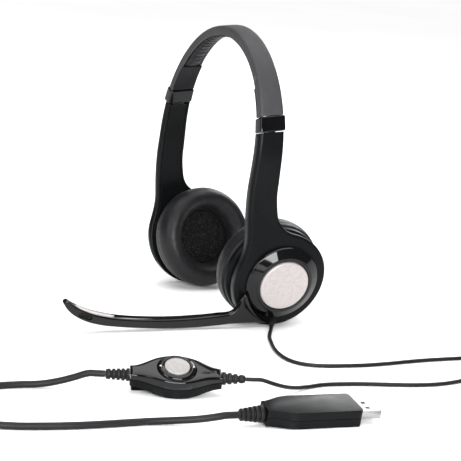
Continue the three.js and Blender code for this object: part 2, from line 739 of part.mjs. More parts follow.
// Hand-chosen points of the stretches that are not coiled.
const THIN_OUT = [
  [-78, 11.7, 1.2], [-86.5, 16.6, 1.15], [-95, 20.2, 1.15], [-103.5, 23.6, 1.15], [-112, 26.4, 1.15],
  [-120.5, 28.2, 1.15], [-129, 28.6, 1.15], [-136.5, 26.6, 1.15], [-142, 21.5, 1.15],
  [-145.3, 13.5, 1.15], [-147.2, 3, 1.15], [-148.4, -10, 1.15], [-148.2, -24, 1.15],
  [-146.9, -38, 1.15], [-146, -52, 1.15], [-146, -66, 1.15], [-146.6, -77, 1.15], [-147.4, -86.8, 1.15],
];
const THIN_BACK = [
  [-172.9, -86.5, 1.15], [-175, -77, 1.15], [-178.6, -67, 1.15], [-183.6, -56, 1.15], [-187.4, -44, 1.15],
  [-189, -31, 1.15], [-187.8, -18, 1.15], [-184.6, -5, 1.15], [-181, 8, 1.15], [-178.4, 21, 1.15],
  [-177.4, 33, 1.15], [-180, 45, 1.4], [-184.3, 56, 3], [-187.8, 64.5, 5.4], [-189, 71, 7.6],
  onControlAxis(-1, 8), onControlAxis(-1, 4), onControlAxis(-1, 0),
];
const THICK_OUT = [
  onControlAxis(1, 0), onControlAxis(1, 4), onControlAxis(1, 8), [-156.6, 167, 6.8],
  [-153.6, 174.5, 4.2], [-150.4, 183, 2.3], [-148.2, 192, 1.85], [-147.8, 203, 1.85],
  [-149.2, 215, 1.85], [-152.2, 225.5, 1.85], [-155.4, 235.3, 1.85],
];
const THICK_BACK = [
  [-204.5, 235, 1.85], [-206.4, 228, 1.85], [-209, 219, 1.85], [-212.3, 206, 1.85], [-214.6, 192, 1.85],
  [-215.8, 178, 1.85], [-216.2, 164, 1.85], [-217, 151, 1.9], [-220.4, 139.8, 2.7], [-224.6, 130, 4],
  [-227.3, 122.4, 5.4], behindPlug(7), behindPlug(3.5), behindPlug(0),
];

function cordTube(points, diameter, steps) {
  const curve = new THREE.CatmullRomCurve3(points.map(([x, y, z]) => new THREE.Vector3(x, y, z)));
  const section = new THREE.Shape();
  for (let i = 0; i < 8; i += 1) {
    const angle = (i + 0.5) * Math.PI / 4;
    const [x, y] = [Math.cos(angle) * diameter / 2, Math.sin(angle) * diameter / 2];
    if (i === 0) {
      section.moveTo(x, y);
    } else {
      section.lineTo(x, y);
    }
  }
  return facingOut(new THREE.ExtrudeGeometry(section, { steps, extrudePath: curve, bevelEnabled: false }));
}

function coilRing(coil) {
  const [r0, r1] = [coil.radius - coil.half, coil.radius + coil.half];
  const [low, high] = [0.05, coil.height + 0.05];
  const corner = coil.half * 0.35;
  const ring = turnedRing([[r0, low + corner], [r0 + corner, low], [r1 - corner, low], [r1, low + corner],
    [r1, high - corner], [r1 - corner, high], [r0 + corner, high], [r0, high - corner]], 20);
  ring.translate(coil.x, coil.y, 0);
  return ring;
}

// ---- assembly ----
function buildHeadset(glandBase, glandExit) {
  const headset = new THREE.Group();
  headset.add(part('headband_cover', headbandCover(), matteBlack()));
  headset.add(part('headband_spring', headbandSpring(), steel()));
  headset.add(part('headband_pad', headbandPad(), leatherette()));
  const paired = [
    ['adjuster_cover', adjusterCover(), innerPlastic],
    ['collar', collar(), glossyBlack],
    ['slider_strip', sliderStrip(), steel],
    ['slider_screw', sliderScrew(), steel],
    ['arm_shell', armShell(), satinBlack],
    ['arm_cover', armCover(), satinBlack],
  ];
  for (const [name, geometry, look] of paired) {
    headset.add(part(`right_${name}`, geometry, look()));
    headset.add(part(`left_${name}`, mirrorX(geometry), look()));
  }
  for (const [label, side] of [['left', -1], ['right', 1]]) {
    const outer = cupGroup(side);
    outer.add(part(`${label}_disc`, silverDisc(), silver()));
    const ringName = side < 0 ? 'boom_hub_ring' : 'right_trim_ring';
    outer.add(part(ringName, hubRing(), glossyBlack()));
    outer.add(part(`${label}_cup_ball`, cupBall(), steel()));
    const inner = new THREE.Group();
    inner.position.set(0, -CUP_DROP, 0);
    inner.add(part(`${label}_cup_housing`, cupHousing(), satinBlack()));
    inner.add(part(`${label}_driver_baffle`, driverBaffle(), innerPlastic()));
    inner.add(part(`${label}_driver_magnet`, driverMagnet(), steel()));
    inner.add(part(`${label}_driver_diaphragm`, driverDiaphragm(), innerPlastic()));
    inner.add(part(`${label}_cloth_disc`, clothDisc(), matteBlack()));
    inner.add(part(`${label}_ear_cushion`, earCushion(), leatherette()));
    outer.add(inner);
    if (side < 0) {
      outer.add(part('boom_arm', boomArm(), glossyBlack()));
      outer.add(part('boom_inlay', boomInlay(), silver()));
      outer.add(part('mic_grille', micGrille(), matteBlack()));
      outer.add(part('mic_capsule', micCapsule(), steel()));
      outer.add(part('cord_gland', cordGland(), matteBlack()));
      glandBase.copy(GLAND_BASE).applyMatrix4(cupFrame(side));
      glandExit.copy(GLAND_TIP).applyMatrix4(cupFrame(side));
    }
    headset.add(outer);
  }
  headset.rotation.x = -HEADSET_PITCH;
  headset.position.set(0, 0, PITCH_PIVOT_Z - REST_DROP);
  headset.position.sub(new THREE.Vector3(0, 0, PITCH_PIVOT_Z).applyEuler(headset.rotation));
  return headset;
}

function buildControl() {
  const control = new THREE.Group();
  control.rotation.set(-CONTROL_TILT, 0, 0);
  control.add(part('control_top', controlTop(), glossyBlack()));
  control.add(part('control_bottom', controlBottom(), satinBlack()));
  control.add(part('control_board', controlBoard(), circuitBoard()));
  control.add(part('volume_rocker', volumeRocker(), glossyBlack()));
  control.add(part('mute_button', muteButton(), silver()));
  control.add(part('mute_switch', muteSwitch(), steel()));
  control.add(part('control_clip', controlClip(), satinBlack()));
  control.add(part('clip_pin', clipPin(), steel()));
  for (const [name, side] of [['thin_cord_relief', -1], ['thick_cord_relief', 1]]) {
    const relief = finnedRelief(RELIEF_LENGTH, 3.3, side > 0 ? 2.7 : 2.2, side > 0 ? 5 : 4);
    if (side < 0) {
      relief.rotateZ(Math.PI);
    }
    relief.translate(side * (CONTROL_HALF_LENGTH + GAP), 0, 0);
    control.add(part(name, relief, matteBlack()));
  }
  const placed = new THREE.Group();
  placed.rotation.z = CONTROL_TURN;
  placed.position.copy(CONTROL_CENTRE);
  placed.add(control);
  return placed;
}

function buildPlug() {
  const plug = new THREE.Group();
  plug.rotation.set(PLUG_ROLL, 0, 0);
  plug.add(part('plug_top', plugHalf(1), satinBlack()));
  plug.add(part('plug_bottom', plugHalf(-1), satinBlack()));
  plug.add(part('plug_board', plugBoard(), circuitBoard()));
  plug.add(part('usb_shell', usbShell(), steel()));
  plug.add(part('usb_tongue', usbTongue(), material(0xe8e8e8, 0.5)));
  plug.add(part('plug_relief', plugRelief(), matteBlack()));
  const placed = new THREE.Group();
  placed.rotation.z = PLUG_TURN;
  placed.position.copy(PLUG_START);
  placed.add(plug);
  return placed;
}

const product = new THREE.Group();
const glandExit = new THREE.Vector3();
const glandBase = new THREE.Vector3();
const headset = buildHeadset(glandBase, glandExit);
headset.updateMatrixWorld(true);
glandExit.applyMatrix4(headset.matrixWorld);
const glandAxis = glandExit.clone().sub(glandBase.applyMatrix4(headset.matrixWorld)).normalize();
product.add(headset);
product.add(buildControl());
product.add(buildPlug());

const thinStart = [GAP, 3.5, 7].map((distance) => glandExit.clone().addScaledVector(glandAxis, distance));
const thinOut = [...thinStart.map((p) => [p.x, p.y, p.z]), ...THIN_OUT];
product.add(part('thin_cord_out', cordTube(thinOut, THIN_CORD, 30), cordSheath()));
product.add(part('thin_cord_coil', coilRing(THIN_COIL), cordSheath()));
product.add(part('thin_cord_back', cordTube(THIN_BACK, THIN_CORD, 20), cordSheath()));
product.add(part('thick_cord_out', cordTube(THICK_OUT, THICK_CORD, 10), cordSheath()));
product.add(part('thick_cord_coil', coilRing(THICK_COIL), cordSheath()));
product.add(part('thick_cord_back', cordTube(THICK_BACK, THICK_CORD, 14), cordSheath()));
product.position.y = -ORIGIN_Y;

const model = new THREE.Group();
model.add(product);

export default model;
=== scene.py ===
"""A wired on-ear headset with a boom microphone, an in-line control and a USB plug.

Everything is worked out in millimetres in the part's own frames and turned into metres when a mesh is made.
"""

import math

import bmesh
import bpy
from mathutils import Matrix, Vector, noise


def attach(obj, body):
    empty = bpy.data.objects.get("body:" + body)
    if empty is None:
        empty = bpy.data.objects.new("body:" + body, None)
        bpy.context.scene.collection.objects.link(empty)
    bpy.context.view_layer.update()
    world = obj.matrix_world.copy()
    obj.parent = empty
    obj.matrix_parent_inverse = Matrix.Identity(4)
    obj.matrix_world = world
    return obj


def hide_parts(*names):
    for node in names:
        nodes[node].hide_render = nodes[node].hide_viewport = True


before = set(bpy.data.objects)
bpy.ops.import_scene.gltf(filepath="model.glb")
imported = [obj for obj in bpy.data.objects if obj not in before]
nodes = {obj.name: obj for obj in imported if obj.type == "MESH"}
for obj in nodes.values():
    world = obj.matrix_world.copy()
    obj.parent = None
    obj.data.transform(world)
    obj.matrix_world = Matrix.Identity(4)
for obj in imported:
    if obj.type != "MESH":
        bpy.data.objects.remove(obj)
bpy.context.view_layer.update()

# ---- driving dimensions, as in the part ----
MM = 0.001
GAP = 0.3
PITCH = math.radians(5.5)
PIVOT_Z = 29.4
REST_DROP = 0.2
ORIGIN_Y = 50.7

ARCH_HALF_WIDTH = 68.3
ARCH_RISE = 71.7
ARCH_SPRING_Z = 102
COLLAR_LOW = 14.6
COLLAR_HIGH = 21.9
ARM_TOP = 14.25
BAND_END = 22.25
ADJUSTER_END = 38.5
BAND_LEAN = 0.158
BAND_TAPER = 0.057
BAND_Y = 12.5
BAND_WIDTH = 17.8
BAND_BEND_Z = 82
ARM_THICK = 6.3
ARM_BEND_RADIUS = 80

CUP_TILT = math.radians(14)
CUP_TOE = math.radians(4)
CUP_X = 69.8
CUP_Z = 27.3
SHELL_DEPTH = 5.3
SHELL_RADIUS = 29.2
SHELL_CENTRE_Z = 29.4
DISC_RADIUS = 15.4
RING_RADIUS = 23.3
RING_BORE = 12.4
HOUSING_DEPTH = 15.2
HOUSING_RADIUS = 30.5
CUP_DROP = 1.5

CONTROL_CENTRE = Vector((-173.7, 118.8 - ORIGIN_Y, 9.4))
CONTROL_TURN = math.atan2(0.948, 0.318)
CONTROL_TILT = math.radians(23)
CONTROL_HALF_LENGTH = 23.5
CONTROL_HALF_WIDTH = 11.2
RELIEF_LENGTH = 12
PLUG_START = Vector((-228.6, 110.1 - ORIGIN_Y, 6.1))
PLUG_TURN = math.atan2(-0.997, -0.077)
PLUG_ROLL = math.radians(9)
PLUG_BODY_X = 12.4

THIN_CORD = 2.2
THICK_CORD = 3.6

# ---- frames ----
HEADSET = (Matrix.Translation((0, -ORIGIN_Y, PIVOT_Z - REST_DROP))
           @ Matrix.Rotation(-PITCH, 4, "X") @ Matrix.Translation((0, 0, -PIVOT_Z)))
CONTROL = (Matrix.Translation(CONTROL_CENTRE) @ Matrix.Rotation(CONTROL_TURN, 4, "Z")
           @ Matrix.Rotation(-CONTROL_TILT, 4, "X"))
PLUG = (Matrix.Translation(PLUG_START) @ Matrix.Rotation(PLUG_TURN, 4, "Z")
        @ Matrix.Rotation(PLUG_ROLL, 4, "X"))


def cup_frame(side, drop=0.0):
    """x forward on the left and backward on the right, y up, z the depth towards the head."""
    outward = Vector((side * math.cos(CUP_TILT) * math.cos(CUP_TOE),
                      math.cos(CUP_TILT) * math.sin(CUP_TOE), -math.sin(CUP_TILT)))
    up = (Vector((0, 0, 1)) + outward * math.sin(CUP_TILT)).normalized()
    inward = -outward
    along = up.cross(inward)
    basis = Matrix((along, up, inward)).transposed().to_4x4()
    return HEADSET @ Matrix.Translation((side * CUP_X, 0, CUP_Z)) @ basis @ Matrix.Translation((0, -drop, 0))


# ---- camera ----
def make_camera():
    data = bpy.data.cameras.new("camera")
    data.sensor_width = 36
    data.lens = 132.75
    data.clip_end = 50
    camera = bpy.data.objects.new("camera", data)
    bpy.context.scene.collection.objects.link(camera)
    right = Vector((-0.45399, -0.88691, 0.08540))
    up = Vector((0.21254, -0.01471, 0.97704))
    back = Vector((-0.86529, 0.46171, 0.19517))
    place = Matrix((right, up, back)).transposed().to_4x4()
    place.translation = Vector((-0.9172, 0.44082, 0.25262))
    camera.matrix_world = place
    bpy.context.scene.camera = camera


make_camera()


# ---- materials ----
def node_material(name, base, roughness, metallic=0.0, sheen=0.0, specular=0.5):
    """A Principled material; returns it with its tree, shader and object coordinates."""
    material = bpy.data.materials.new(name)
    material.use_nodes = True
    tree = material.node_tree
    shader = tree.nodes["Principled BSDF"]
    shader.inputs["Base Color"].default_value = (*base, 1)
    shader.inputs["Roughness"].default_value = roughness
    shader.inputs["Metallic"].default_value = metallic
    shader.inputs["Sheen Weight"].default_value = sheen
    shader.inputs["Sheen Roughness"].default_value = 0.4
    shader.inputs["Specular IOR Level"].default_value = specular
    coordinates = tree.nodes.new("ShaderNodeTexCoord").outputs["Object"]
    return material, tree, shader, coordinates


def noise_node(tree, vector, scale, detail=3.0, distortion=0.0):
    node = tree.nodes.new("ShaderNodeTexNoise")
    node.inputs["Scale"].default_value = scale
    node.inputs["Detail"].default_value = detail
    node.inputs["Distortion"].default_value = distortion
    tree.links.new(vector, node.inputs["Vector"])
    return node.outputs["Fac"]


def cells_node(tree, vector, scale, feature="F1"):
    node = tree.nodes.new("ShaderNodeTexVoronoi")
    node.feature = feature
    node.inputs["Scale"].default_value = scale
    tree.links.new(vector, node.inputs["Vector"])
    return node.outputs["Distance"]


def stretched(tree, vector, scale):
    node = tree.nodes.new("ShaderNodeMapping")
    node.inputs["Scale"].default_value = scale
    tree.links.new(vector, node.inputs["Vector"])
    return node.outputs["Vector"]


def mixed_colour(tree, factor, low, high, start=0.35, end=0.65):
    ramp = tree.nodes.new("ShaderNodeValToRGB")
    ramp.color_ramp.elements[0].position = start
    ramp.color_ramp.elements[0].color = (*low, 1)
    ramp.color_ramp.elements[1].position = end
    ramp.color_ramp.elements[1].color = (*high, 1)
    tree.links.new(factor, ramp.inputs["Fac"])
    return ramp.outputs["Color"]


def ranged(tree, factor, low, high):
    node = tree.nodes.new("ShaderNodeMapRange")
    node.inputs["From Min"].default_value = 0.3
    node.inputs["From Max"].default_value = 0.7
    node.inputs["To Min"].default_value = low
    node.inputs["To Max"].default_value = high
    tree.links.new(factor, node.inputs["Value"])
    return node.outputs["Result"]


def bumped(tree, shader, layers):
    """Bump layers, each (height, distance in metres, strength)."""
    normal = None
    for height, distance, strength in layers:
        bump = tree.nodes.new("ShaderNodeBump")
        bump.inputs["Strength"].default_value = strength
        bump.inputs["Distance"].default_value = distance
        tree.links.new(height, bump.inputs["Height"])
        if normal is not None:
            tree.links.new(normal, bump.inputs["Normal"])
        normal = bump.outputs["Normal"]
    tree.links.new(normal, shader.inputs["Normal"])


def edge_wear(tree, colour, worn, amount):
    """Mixes a worn colour in along sharp convex edges."""
    geometry = tree.nodes.new("ShaderNodeNewGeometry")
    ramp = tree.nodes.new("ShaderNodeMapRange")
    ramp.inputs["From Min"].default_value = 0.53
    ramp.inputs["From Max"].default_value = 0.62
    ramp.inputs["To Max"].default_value = amount
    tree.links.new(geometry.outputs["Pointiness"], ramp.inputs["Value"])
    mix = tree.nodes.new("ShaderNodeMix")
    mix.data_type = "RGBA"
    tree.links.new(ramp.outputs["Result"], mix.inputs["Factor"])
    tree.links.new(colour, mix.inputs["A"])
    mix.inputs["B"].default_value = (*worn, 1)
    return mix.outputs["Result"]


def moulded(name, dark, light, roughness, grain=0.00003, grain_scale=2600, specular=0.3, worn=None):
    """Moulded plastic: fine spark-erosion grain, slight shade and gloss variation, soft edge wear."""
    material, tree, shader, place = node_material(name, light, roughness[0], specular=specular)
    broad = noise_node(tree, place, 45, 4)
    colour = mixed_colour(tree, broad, dark, light)
    colour = edge_wear(tree, colour, worn or tuple(min(1, c * 2.2 + 0.004) for c in light), 0.5)
    tree.links.new(colour, shader.inputs["Base Color"])
    tree.links.new(ranged(tree, noise_node(tree, place, 130, 5), *roughness), shader.inputs["Roughness"])
    fine = noise_node(tree, place, grain_scale, 2)
    bumped(tree, shader, [(fine, grain, 0.6), (broad, 0.0001, 0.05)])
    return material


def leatherette(name, dark, light):
    material, tree, shader, place = node_material(name, light, 0.42, sheen=0.01, specular=0.2)
    broad = noise_node(tree, place, 60, 5, 0.4)
    tree.links.new(mixed_colour(tree, broad, dark, light), shader.inputs["Base Color"])
    tree.links.new(ranged(tree, noise_node(tree, place, 400, 3), 0.36, 0.5), shader.inputs["Roughness"])
    cells = cells_node(tree, place, 1500, "DISTANCE_TO_EDGE")
    creases = noise_node(tree, place, 260, 6, 1.2)
    bumped(tree, shader, [(creases, 0.0004, 0.25), (cells, 0.00012, 0.45)])
    return material


def cloth(name, dark, light):
    """A fine open cloth with light flecks."""
    material, tree, shader, place = node_material(name, dark, 0.85, sheen=0.03, specular=0.1)
    flecks = noise_node(tree, place, 1700, 1)
    tree.links.new(mixed_colour(tree, flecks, dark, light, 0.52, 0.72), shader.inputs["Base Color"])
    holes = cells_node(tree, place, 1300)
    bumped(tree, shader, [(holes, 0.0003, 0.9), (flecks, 0.0002, 0.5)])
    return material


def brushed(name, dark, light, roughness, metallic, scale):
    material, tree, shader, place = node_material(name, light, roughness[0], metallic=metallic)
    lines = noise_node(tree, stretched(tree, place, scale), 60, 6)
    tree.links.new(mixed_colour(tree, lines, dark, light), shader.inputs["Base Color"])
    tree.links.new(ranged(tree, lines, *roughness), shader.inputs["Roughness"])
    bumped(tree, shader, [(lines, 0.00001, 0.25)])
    return material


LOOKS = {
    "headband": moulded("headband_matte", (0.031, 0.031, 0.033), (0.039, 0.039, 0.041), (0.5, 0.62),
                        0.00005, 1900, 0.2),
    "gloss": moulded("gloss_black", (0.002, 0.002, 0.0025), (0.0035, 0.0035, 0.004), (0.04, 0.09),
                     0.000003, 900, worn=(0.01, 0.01, 0.012)),
    "satin": moulded("satin_black", (0.0025, 0.0028, 0.003), (0.004, 0.0045, 0.005), (0.27, 0.36),
                     0.00002, 2400, 0.08, worn=(0.02, 0.02, 0.022)),
    "inner": moulded("inner_plastic", (0.006, 0.006, 0.007), (0.011, 0.011, 0.012), (0.5, 0.62),
                     0.00005, 1700, 0.12),
    "rubber": moulded("soft_black", (0.006, 0.006, 0.006), (0.011, 0.011, 0.011), (0.42, 0.55),
                      0.00004, 2100, 0.16),
    "cord": moulded("cord_sheath", (0.005, 0.005, 0.006), (0.009, 0.009, 0.010), (0.36, 0.48),
                    0.00003, 2600, 0.16),
    "pad": leatherette("pad_leatherette", (0.006, 0.006, 0.007), (0.012, 0.012, 0.013)),
    "cushion": leatherette("cushion_leatherette", (0.005, 0.005, 0.006), (0.010, 0.010, 0.011)),
    "cloth": cloth("speaker_cloth", (0.002, 0.002, 0.002), (0.035, 0.035, 0.035)),
    "silver": brushed("silver_paint", (0.35, 0.322, 0.315), (0.40, 0.368, 0.361), (0.34, 0.46),
                      0.3, (1, 9, 9)),
    "cap": brushed("button_paint", (0.26, 0.245, 0.24), (0.3, 0.285, 0.28), (0.4, 0.5), 0.3, (1, 9, 9)),
    "steel": brushed("steel", (0.42, 0.43, 0.44), (0.62, 0.63, 0.64), (0.2, 0.38), 1.0, (1, 1, 14)),
    "plug_metal": brushed("plug_metal", (0.33, 0.32, 0.315), (0.44, 0.43, 0.425), (0.3, 0.42),
                          1.0, (16, 1, 16)),
    "board": moulded("circuit_board", (0.01, 0.09, 0.03), (0.02, 0.14, 0.05), (0.35, 0.5)),
    "contacts": moulded("contact_block", (0.70, 0.70, 0.68), (0.82, 0.82, 0.80), (0.4, 0.5),
                        worn=(0.9, 0.9, 0.9)),
    "marks": moulded("moulded_marks", (0.5, 0.5, 0.5), (0.62, 0.62, 0.62), (0.4, 0.5), worn=(0.7, 0.7, 0.7)),
}


# ---- mesh helpers ----
def mesh_object(name, points, faces, place, look, smooth=45):
    """A closed mesh from points in millimetres in the frame `place`, with its faces turned outwards."""
    mesh = bpy.data.meshes.new(name)
    mesh.from_pydata([list((place @ Vector(p)) * MM) for p in points], [], faces)
    mesh.validate()
    built = bmesh.new()
    built.from_mesh(mesh)
    bmesh.ops.remove_doubles(built, verts=built.verts, dist=1e-7)
    bmesh.ops.recalc_face_normals(built, faces=built.faces)
    if built.calc_volume(signed=True) < 0:
        bmesh.ops.reverse_faces(built, faces=built.faces)
    built.to_mesh(mesh)
    built.free()
    mesh.shade_smooth()
    mesh.set_sharp_from_angle(angle=math.radians(smooth))
    thing = bpy.data.objects.new(name, mesh)
    bpy.context.scene.collection.objects.link(thing)
    mesh.materials.append(LOOKS[look])
    return thing


def finish_piece(thing, body, replaced=()):
    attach(thing, body)
    if replaced:
        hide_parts(*replaced)
    return thing


def apply_modifiers(thing):
    """Bakes the modifiers into the mesh."""
    graph = bpy.context.evaluated_depsgraph_get()
    mesh = bpy.data.meshes.new_from_object(thing.evaluated_get(graph))
    thing.modifiers.clear()
    thing.data = mesh
    return thing


def loft(loops, close_ends=True, closed_along=False):
    """Points and faces of a surface through loops that all have the same number of points."""
    count = len(loops[0])
    points = [p for loop in loops for p in loop]
    faces = []
    rows = len(loops)
    for row in range(rows if closed_along else rows - 1):
        here, there = row * count, ((row + 1) % rows) * count
        for i in range(count):
            j = (i + 1) % count
            faces.append((here + i, here + j, there + j, there + i))
    if close_ends and not closed_along:
        faces.append(tuple(range(count)))
        faces.append(tuple(range((rows - 1) * count, rows * count)))
    return points, faces


def rounded(points, radii, steps=4):
    """A polyline with its inner corners rounded; radii is one number or one for each inner corner."""
    if not hasattr(radii, "__len__"):
        radii = [radii] * (len(points) - 2)
    soft = [Vector(points[0])]
    for before, corner, after, radius in zip(points, points[1:], points[2:], radii):
        before, corner, after = Vector(before), Vector(corner), Vector(after)
        back, ahead = before - corner, after - corner
        reach = min(radius, 0.45 * back.length, 0.45 * ahead.length)
        start, end = corner + back.normalized() * reach, corner + ahead.normalized() * reach
        for i in range(steps + 1):
            t = i / steps
            soft.append(start * (1 - t) ** 2 + corner * 2 * t * (1 - t) + end * t ** 2)
    soft.append(Vector(points[-1]))
    return soft


def lathe(name, profile, place, look, segments=96, warp=None, smooth=45):
    """A solid turned round the frame's z axis from (radius, depth) pairs; warp moves its points."""
    points = []
    rows = []
    for radius, depth in profile:
        if radius < 1e-6:
            rows.append([len(points)])
            points.append((0, 0, depth))
            continue
        row = []
        for i in range(segments):
            angle = 2 * math.pi * i / segments
            r, z = warp(angle, radius, depth) if warp else (radius, depth)
            row.append(len(points))
            points.append((r * math.cos(angle), r * math.sin(angle), z))
        rows.append(row)
    if len(rows[0]) > 1:
        rows.append(rows[0])
    faces = []
    for low, high in zip(rows, rows[1:]):
        for i in range(segments):
            j = (i + 1) % segments
            quad = (low[i % len(low)], low[j % len(low)], high[j % len(high)], high[i % len(high)])
            face = tuple(dict.fromkeys(quad))
            if len(face) > 2:
                faces.append(face)
    return mesh_object(name, points, faces, place, look, smooth)


def bezier(a, b, c, d, steps):
    """Points of a cubic curve, without its first point."""
    a, b, c, d = Vector(a), Vector(b), Vector(c), Vector(d)
    out = []
    for i in range(1, steps + 1):
        t = i / steps
        out.append(a * (1 - t) ** 3 + b * 3 * t * (1 - t) ** 2 + c * 3 * t * t * (1 - t) + d * t ** 3)
    return out


def line(a, b, steps):
    a, b = Vector(a), Vector(b)
    return [a.lerp(b, i / steps) for i in range(1, steps + 1)]


def catmull(points, steps):
    """A smooth run through 2-D or 3-D points."""
    points = [Vector(p) for p in points]
    padded = [points[0] * 2 - points[1], *points, points[-1] * 2 - points[-2]]
    out = [points[0]]
    for a, b, c, d in zip(padded, padded[1:], padded[2:], padded[3:]):
        for i in range(1, steps + 1):
            t = i / steps
            out.append(0.5 * (b * 2 + (c - a) * t + (a * 2 - b * 5 + c * 4 - d) * t ** 2
                              + (b * 3 - a - c * 3 + d) * t ** 3))
    return out


# ---- cords ----
GLAND_BASE = Vector((3, -25.6, SHELL_DEPTH - GAP))
GLAND_TIP = Vector((6.5, -24.65, -1.6))
THIN_OUT = [
    (-78, 11.7, 1.2), (-86.5, 16.6, 1.15), (-95, 20.2, 1.15), (-103.5, 23.6, 1.15), (-112, 26.4, 1.15),
    (-120.5, 28.2, 1.15), (-129, 28.6, 1.15), (-136.5, 26.6, 1.15), (-142, 21.5, 1.15), (-145.3, 13.5, 1.15),
    (-147.2, 3, 1.15), (-148.4, -10, 1.15), (-148.2, -24, 1.15), (-146.9, -38, 1.15), (-146, -52, 1.15),
    (-146, -66, 1.15), (-146.2, -77, 1.15), (-146, -87, 1.15),
]
THIN_BACK = [
    (-174.2, -93, 4.2), (-173.9, -86.5, 2), (-175, -77, 1.15), (-178.6, -67, 1.15), (-183.6, -56, 1.15),
    (-187.4, -44, 1.15), (-189, -31, 1.15), (-187.8, -18, 1.15), (-184.6, -5, 1.15), (-181, 8, 1.15),
    (-178.4, 21, 1.15), (-177.4, 33, 1.15), (-180, 45, 1.4), (-184.3, 56, 3), (-187.8, 64.5, 5.4),
    (-189, 71, 7.6),
]
THICK_OUT = [
    (-156.6, 167, 6.8), (-153.6, 174.5, 4.2), (-150.4, 183, 2.3), (-148.2, 192, 1.85), (-147.8, 203, 1.85),
    (-149.2, 215, 1.85), (-152.4, 226, 1.85), (-155.2, 238, 1.85),
]
THICK_BACK = [
    (-204.1, 243, 7.6), (-204.3, 236, 4.6), (-206, 228, 2.4), (-209, 219, 1.85), (-212.3, 206, 1.85),
    (-214.6, 192, 1.85), (-215.8, 178, 1.85), (-216.2, 164, 1.85), (-217, 151, 1.9), (-220.4, 139.8, 2.7),
    (-224.6, 130, 4), (-227.3, 122.4, 5.4),
]


def on_control_axis(side, distance):
    """A point on the control's long axis, past one cord's relief."""
    reach = side * (CONTROL_HALF_LENGTH + RELIEF_LENGTH + 2 * GAP + distance)
    return CONTROL_CENTRE + Vector((math.cos(CONTROL_TURN), math.sin(CONTROL_TURN), 0)) * reach


def behind_plug(distance):
    return PLUG_START - Vector((math.cos(PLUG_TURN), math.sin(PLUG_TURN), 0)) * (distance + GAP)


def on_table(points):
    return [Vector((x, y - ORIGIN_Y, z)) for x, y, z in points]


def coil_turns(centre, radius, diameter, slots, turns, way, steps=18):
    """Turns of a round coil, each in its own slot (column, level); it starts east of the centre."""
    points = []
    total = int(turns * steps)
    for i in range(total + 1):
        turn = i / steps
        index = min(int(turn), len(slots) - 1)
        following = min(index + 1, len(slots) - 1)
        part = min(max((turn - index - 0.8) / 0.2, 0), 1)
        ease = part * part * (3 - 2 * part)
        column = slots[index][0] + (slots[following][0] - slots[index][0]) * ease
        level = slots[index][1] + (slots[following][1] - slots[index][1]) * ease
        angle = way * 2 * math.pi * turn
        r = radius + column * diameter
        points.append(Vector((centre[0] + r * math.cos(angle), centre[1] - ORIGIN_Y + r * math.sin(angle),
                              diameter * (0.52 + level))))
    return points


COIL_SLOTS = [(1, 0), (0, 0), (-1, 0), (-1, 1), (0, 1), (1, 1), (-1, 2), (0, 2), (1, 2)]


def cord_curve(name, points, diameter):
    data = bpy.data.curves.new(name, "CURVE")
    data.dimensions = "3D"
    data.resolution_u = 5
    data.bevel_depth = diameter * MM / 2
    data.bevel_resolution = 4
    data.use_fill_caps = True
    spline = data.splines.new("BEZIER")
    spline.bezier_points.add(len(points) - 1)
    for knot, point in zip(spline.bezier_points, points):
        knot.co = point * MM
        knot.handle_left_type = "AUTO"
        knot.handle_right_type = "AUTO"
    data.materials.append(LOOKS["cord"])
    thing = bpy.data.objects.new(name, data)
    bpy.context.scene.collection.objects.link(thing)
    return thing


def coil_tie(name, centre, radius, half, angle):
    """A flat tie round one place of a coil's bundle."""
    middle = (centre[0], centre[1] - ORIGIN_Y, half + 0.35)
    place = (Matrix.Translation(middle) @ Matrix.Rotation(angle, 4, "Z")
             @ Matrix.Translation((radius, 0, 0)) @ Matrix.Rotation(math.pi / 2, 4, "X"))
    outer, inner = half + 0.7, half + 0.1
    loops = []
    for reach, low in ((outer, -2), (outer, 2), (inner, 2), (inner, -2)):
        loop = []
        for i in range(40):
            turn = 2 * math.pi * i / 40
            c, s = math.cos(turn), math.sin(turn)
            x = math.copysign(abs(c) ** 0.5, c) * reach
            y = max(math.copysign(abs(s) ** 0.5, s) * reach, 0.05 - half)
            loop.append((x, y, low))
        loops.append(loop)
    points, faces = loft(loops, closed_along=True)
    return mesh_object(name, points, faces, place, "rubber")


LEFT_CUP = cup_frame(-1)
RIGHT_CUP = cup_frame(1)
gland_tip = LEFT_CUP @ GLAND_TIP
gland_axis = (gland_tip - LEFT_CUP @ GLAND_BASE).normalized()
thin_start = [gland_tip + gland_axis * d for d in (GAP, 3.5, 7)]
thin_points = [
    *thin_start, *on_table(THIN_OUT),
    *coil_turns((-160, -98), 12, THIN_CORD, COIL_SLOTS, 8.5, -1), *on_table(THIN_BACK),
    on_control_axis(-1, 8), on_control_axis(-1, 4), on_control_axis(-1, 0),
]
thick_points = [
    on_control_axis(1, 0), on_control_axis(1, 4), on_control_axis(1, 8), *on_table(THICK_OUT),
    *coil_turns((-180, 250), 20.5, THICK_CORD, COIL_SLOTS, 8.5, 1), *on_table(THICK_BACK),
    behind_plug(7), behind_plug(3.5), behind_plug(0),
]
thin_cord = cord_curve("thin_cord", thin_points, THIN_CORD)
thick_cord = cord_curve("thick_cord", thick_points, THICK_CORD)
finish_piece(thin_cord, "left_arm", ["thin_cord_out", "thin_cord_coil", "thin_cord_back"])
finish_piece(thick_cord, "left_arm", ["thick_cord_out", "thick_cord_coil", "thick_cord_back"])
finish_piece(coil_tie("thin_coil_tie", (-160, -98), 12, 3.4, -math.pi / 2), "left_arm")
finish_piece(coil_tie("thick_coil_tie", (-180, 250), 20.5, 5.5, math.pi / 2), "left_arm")


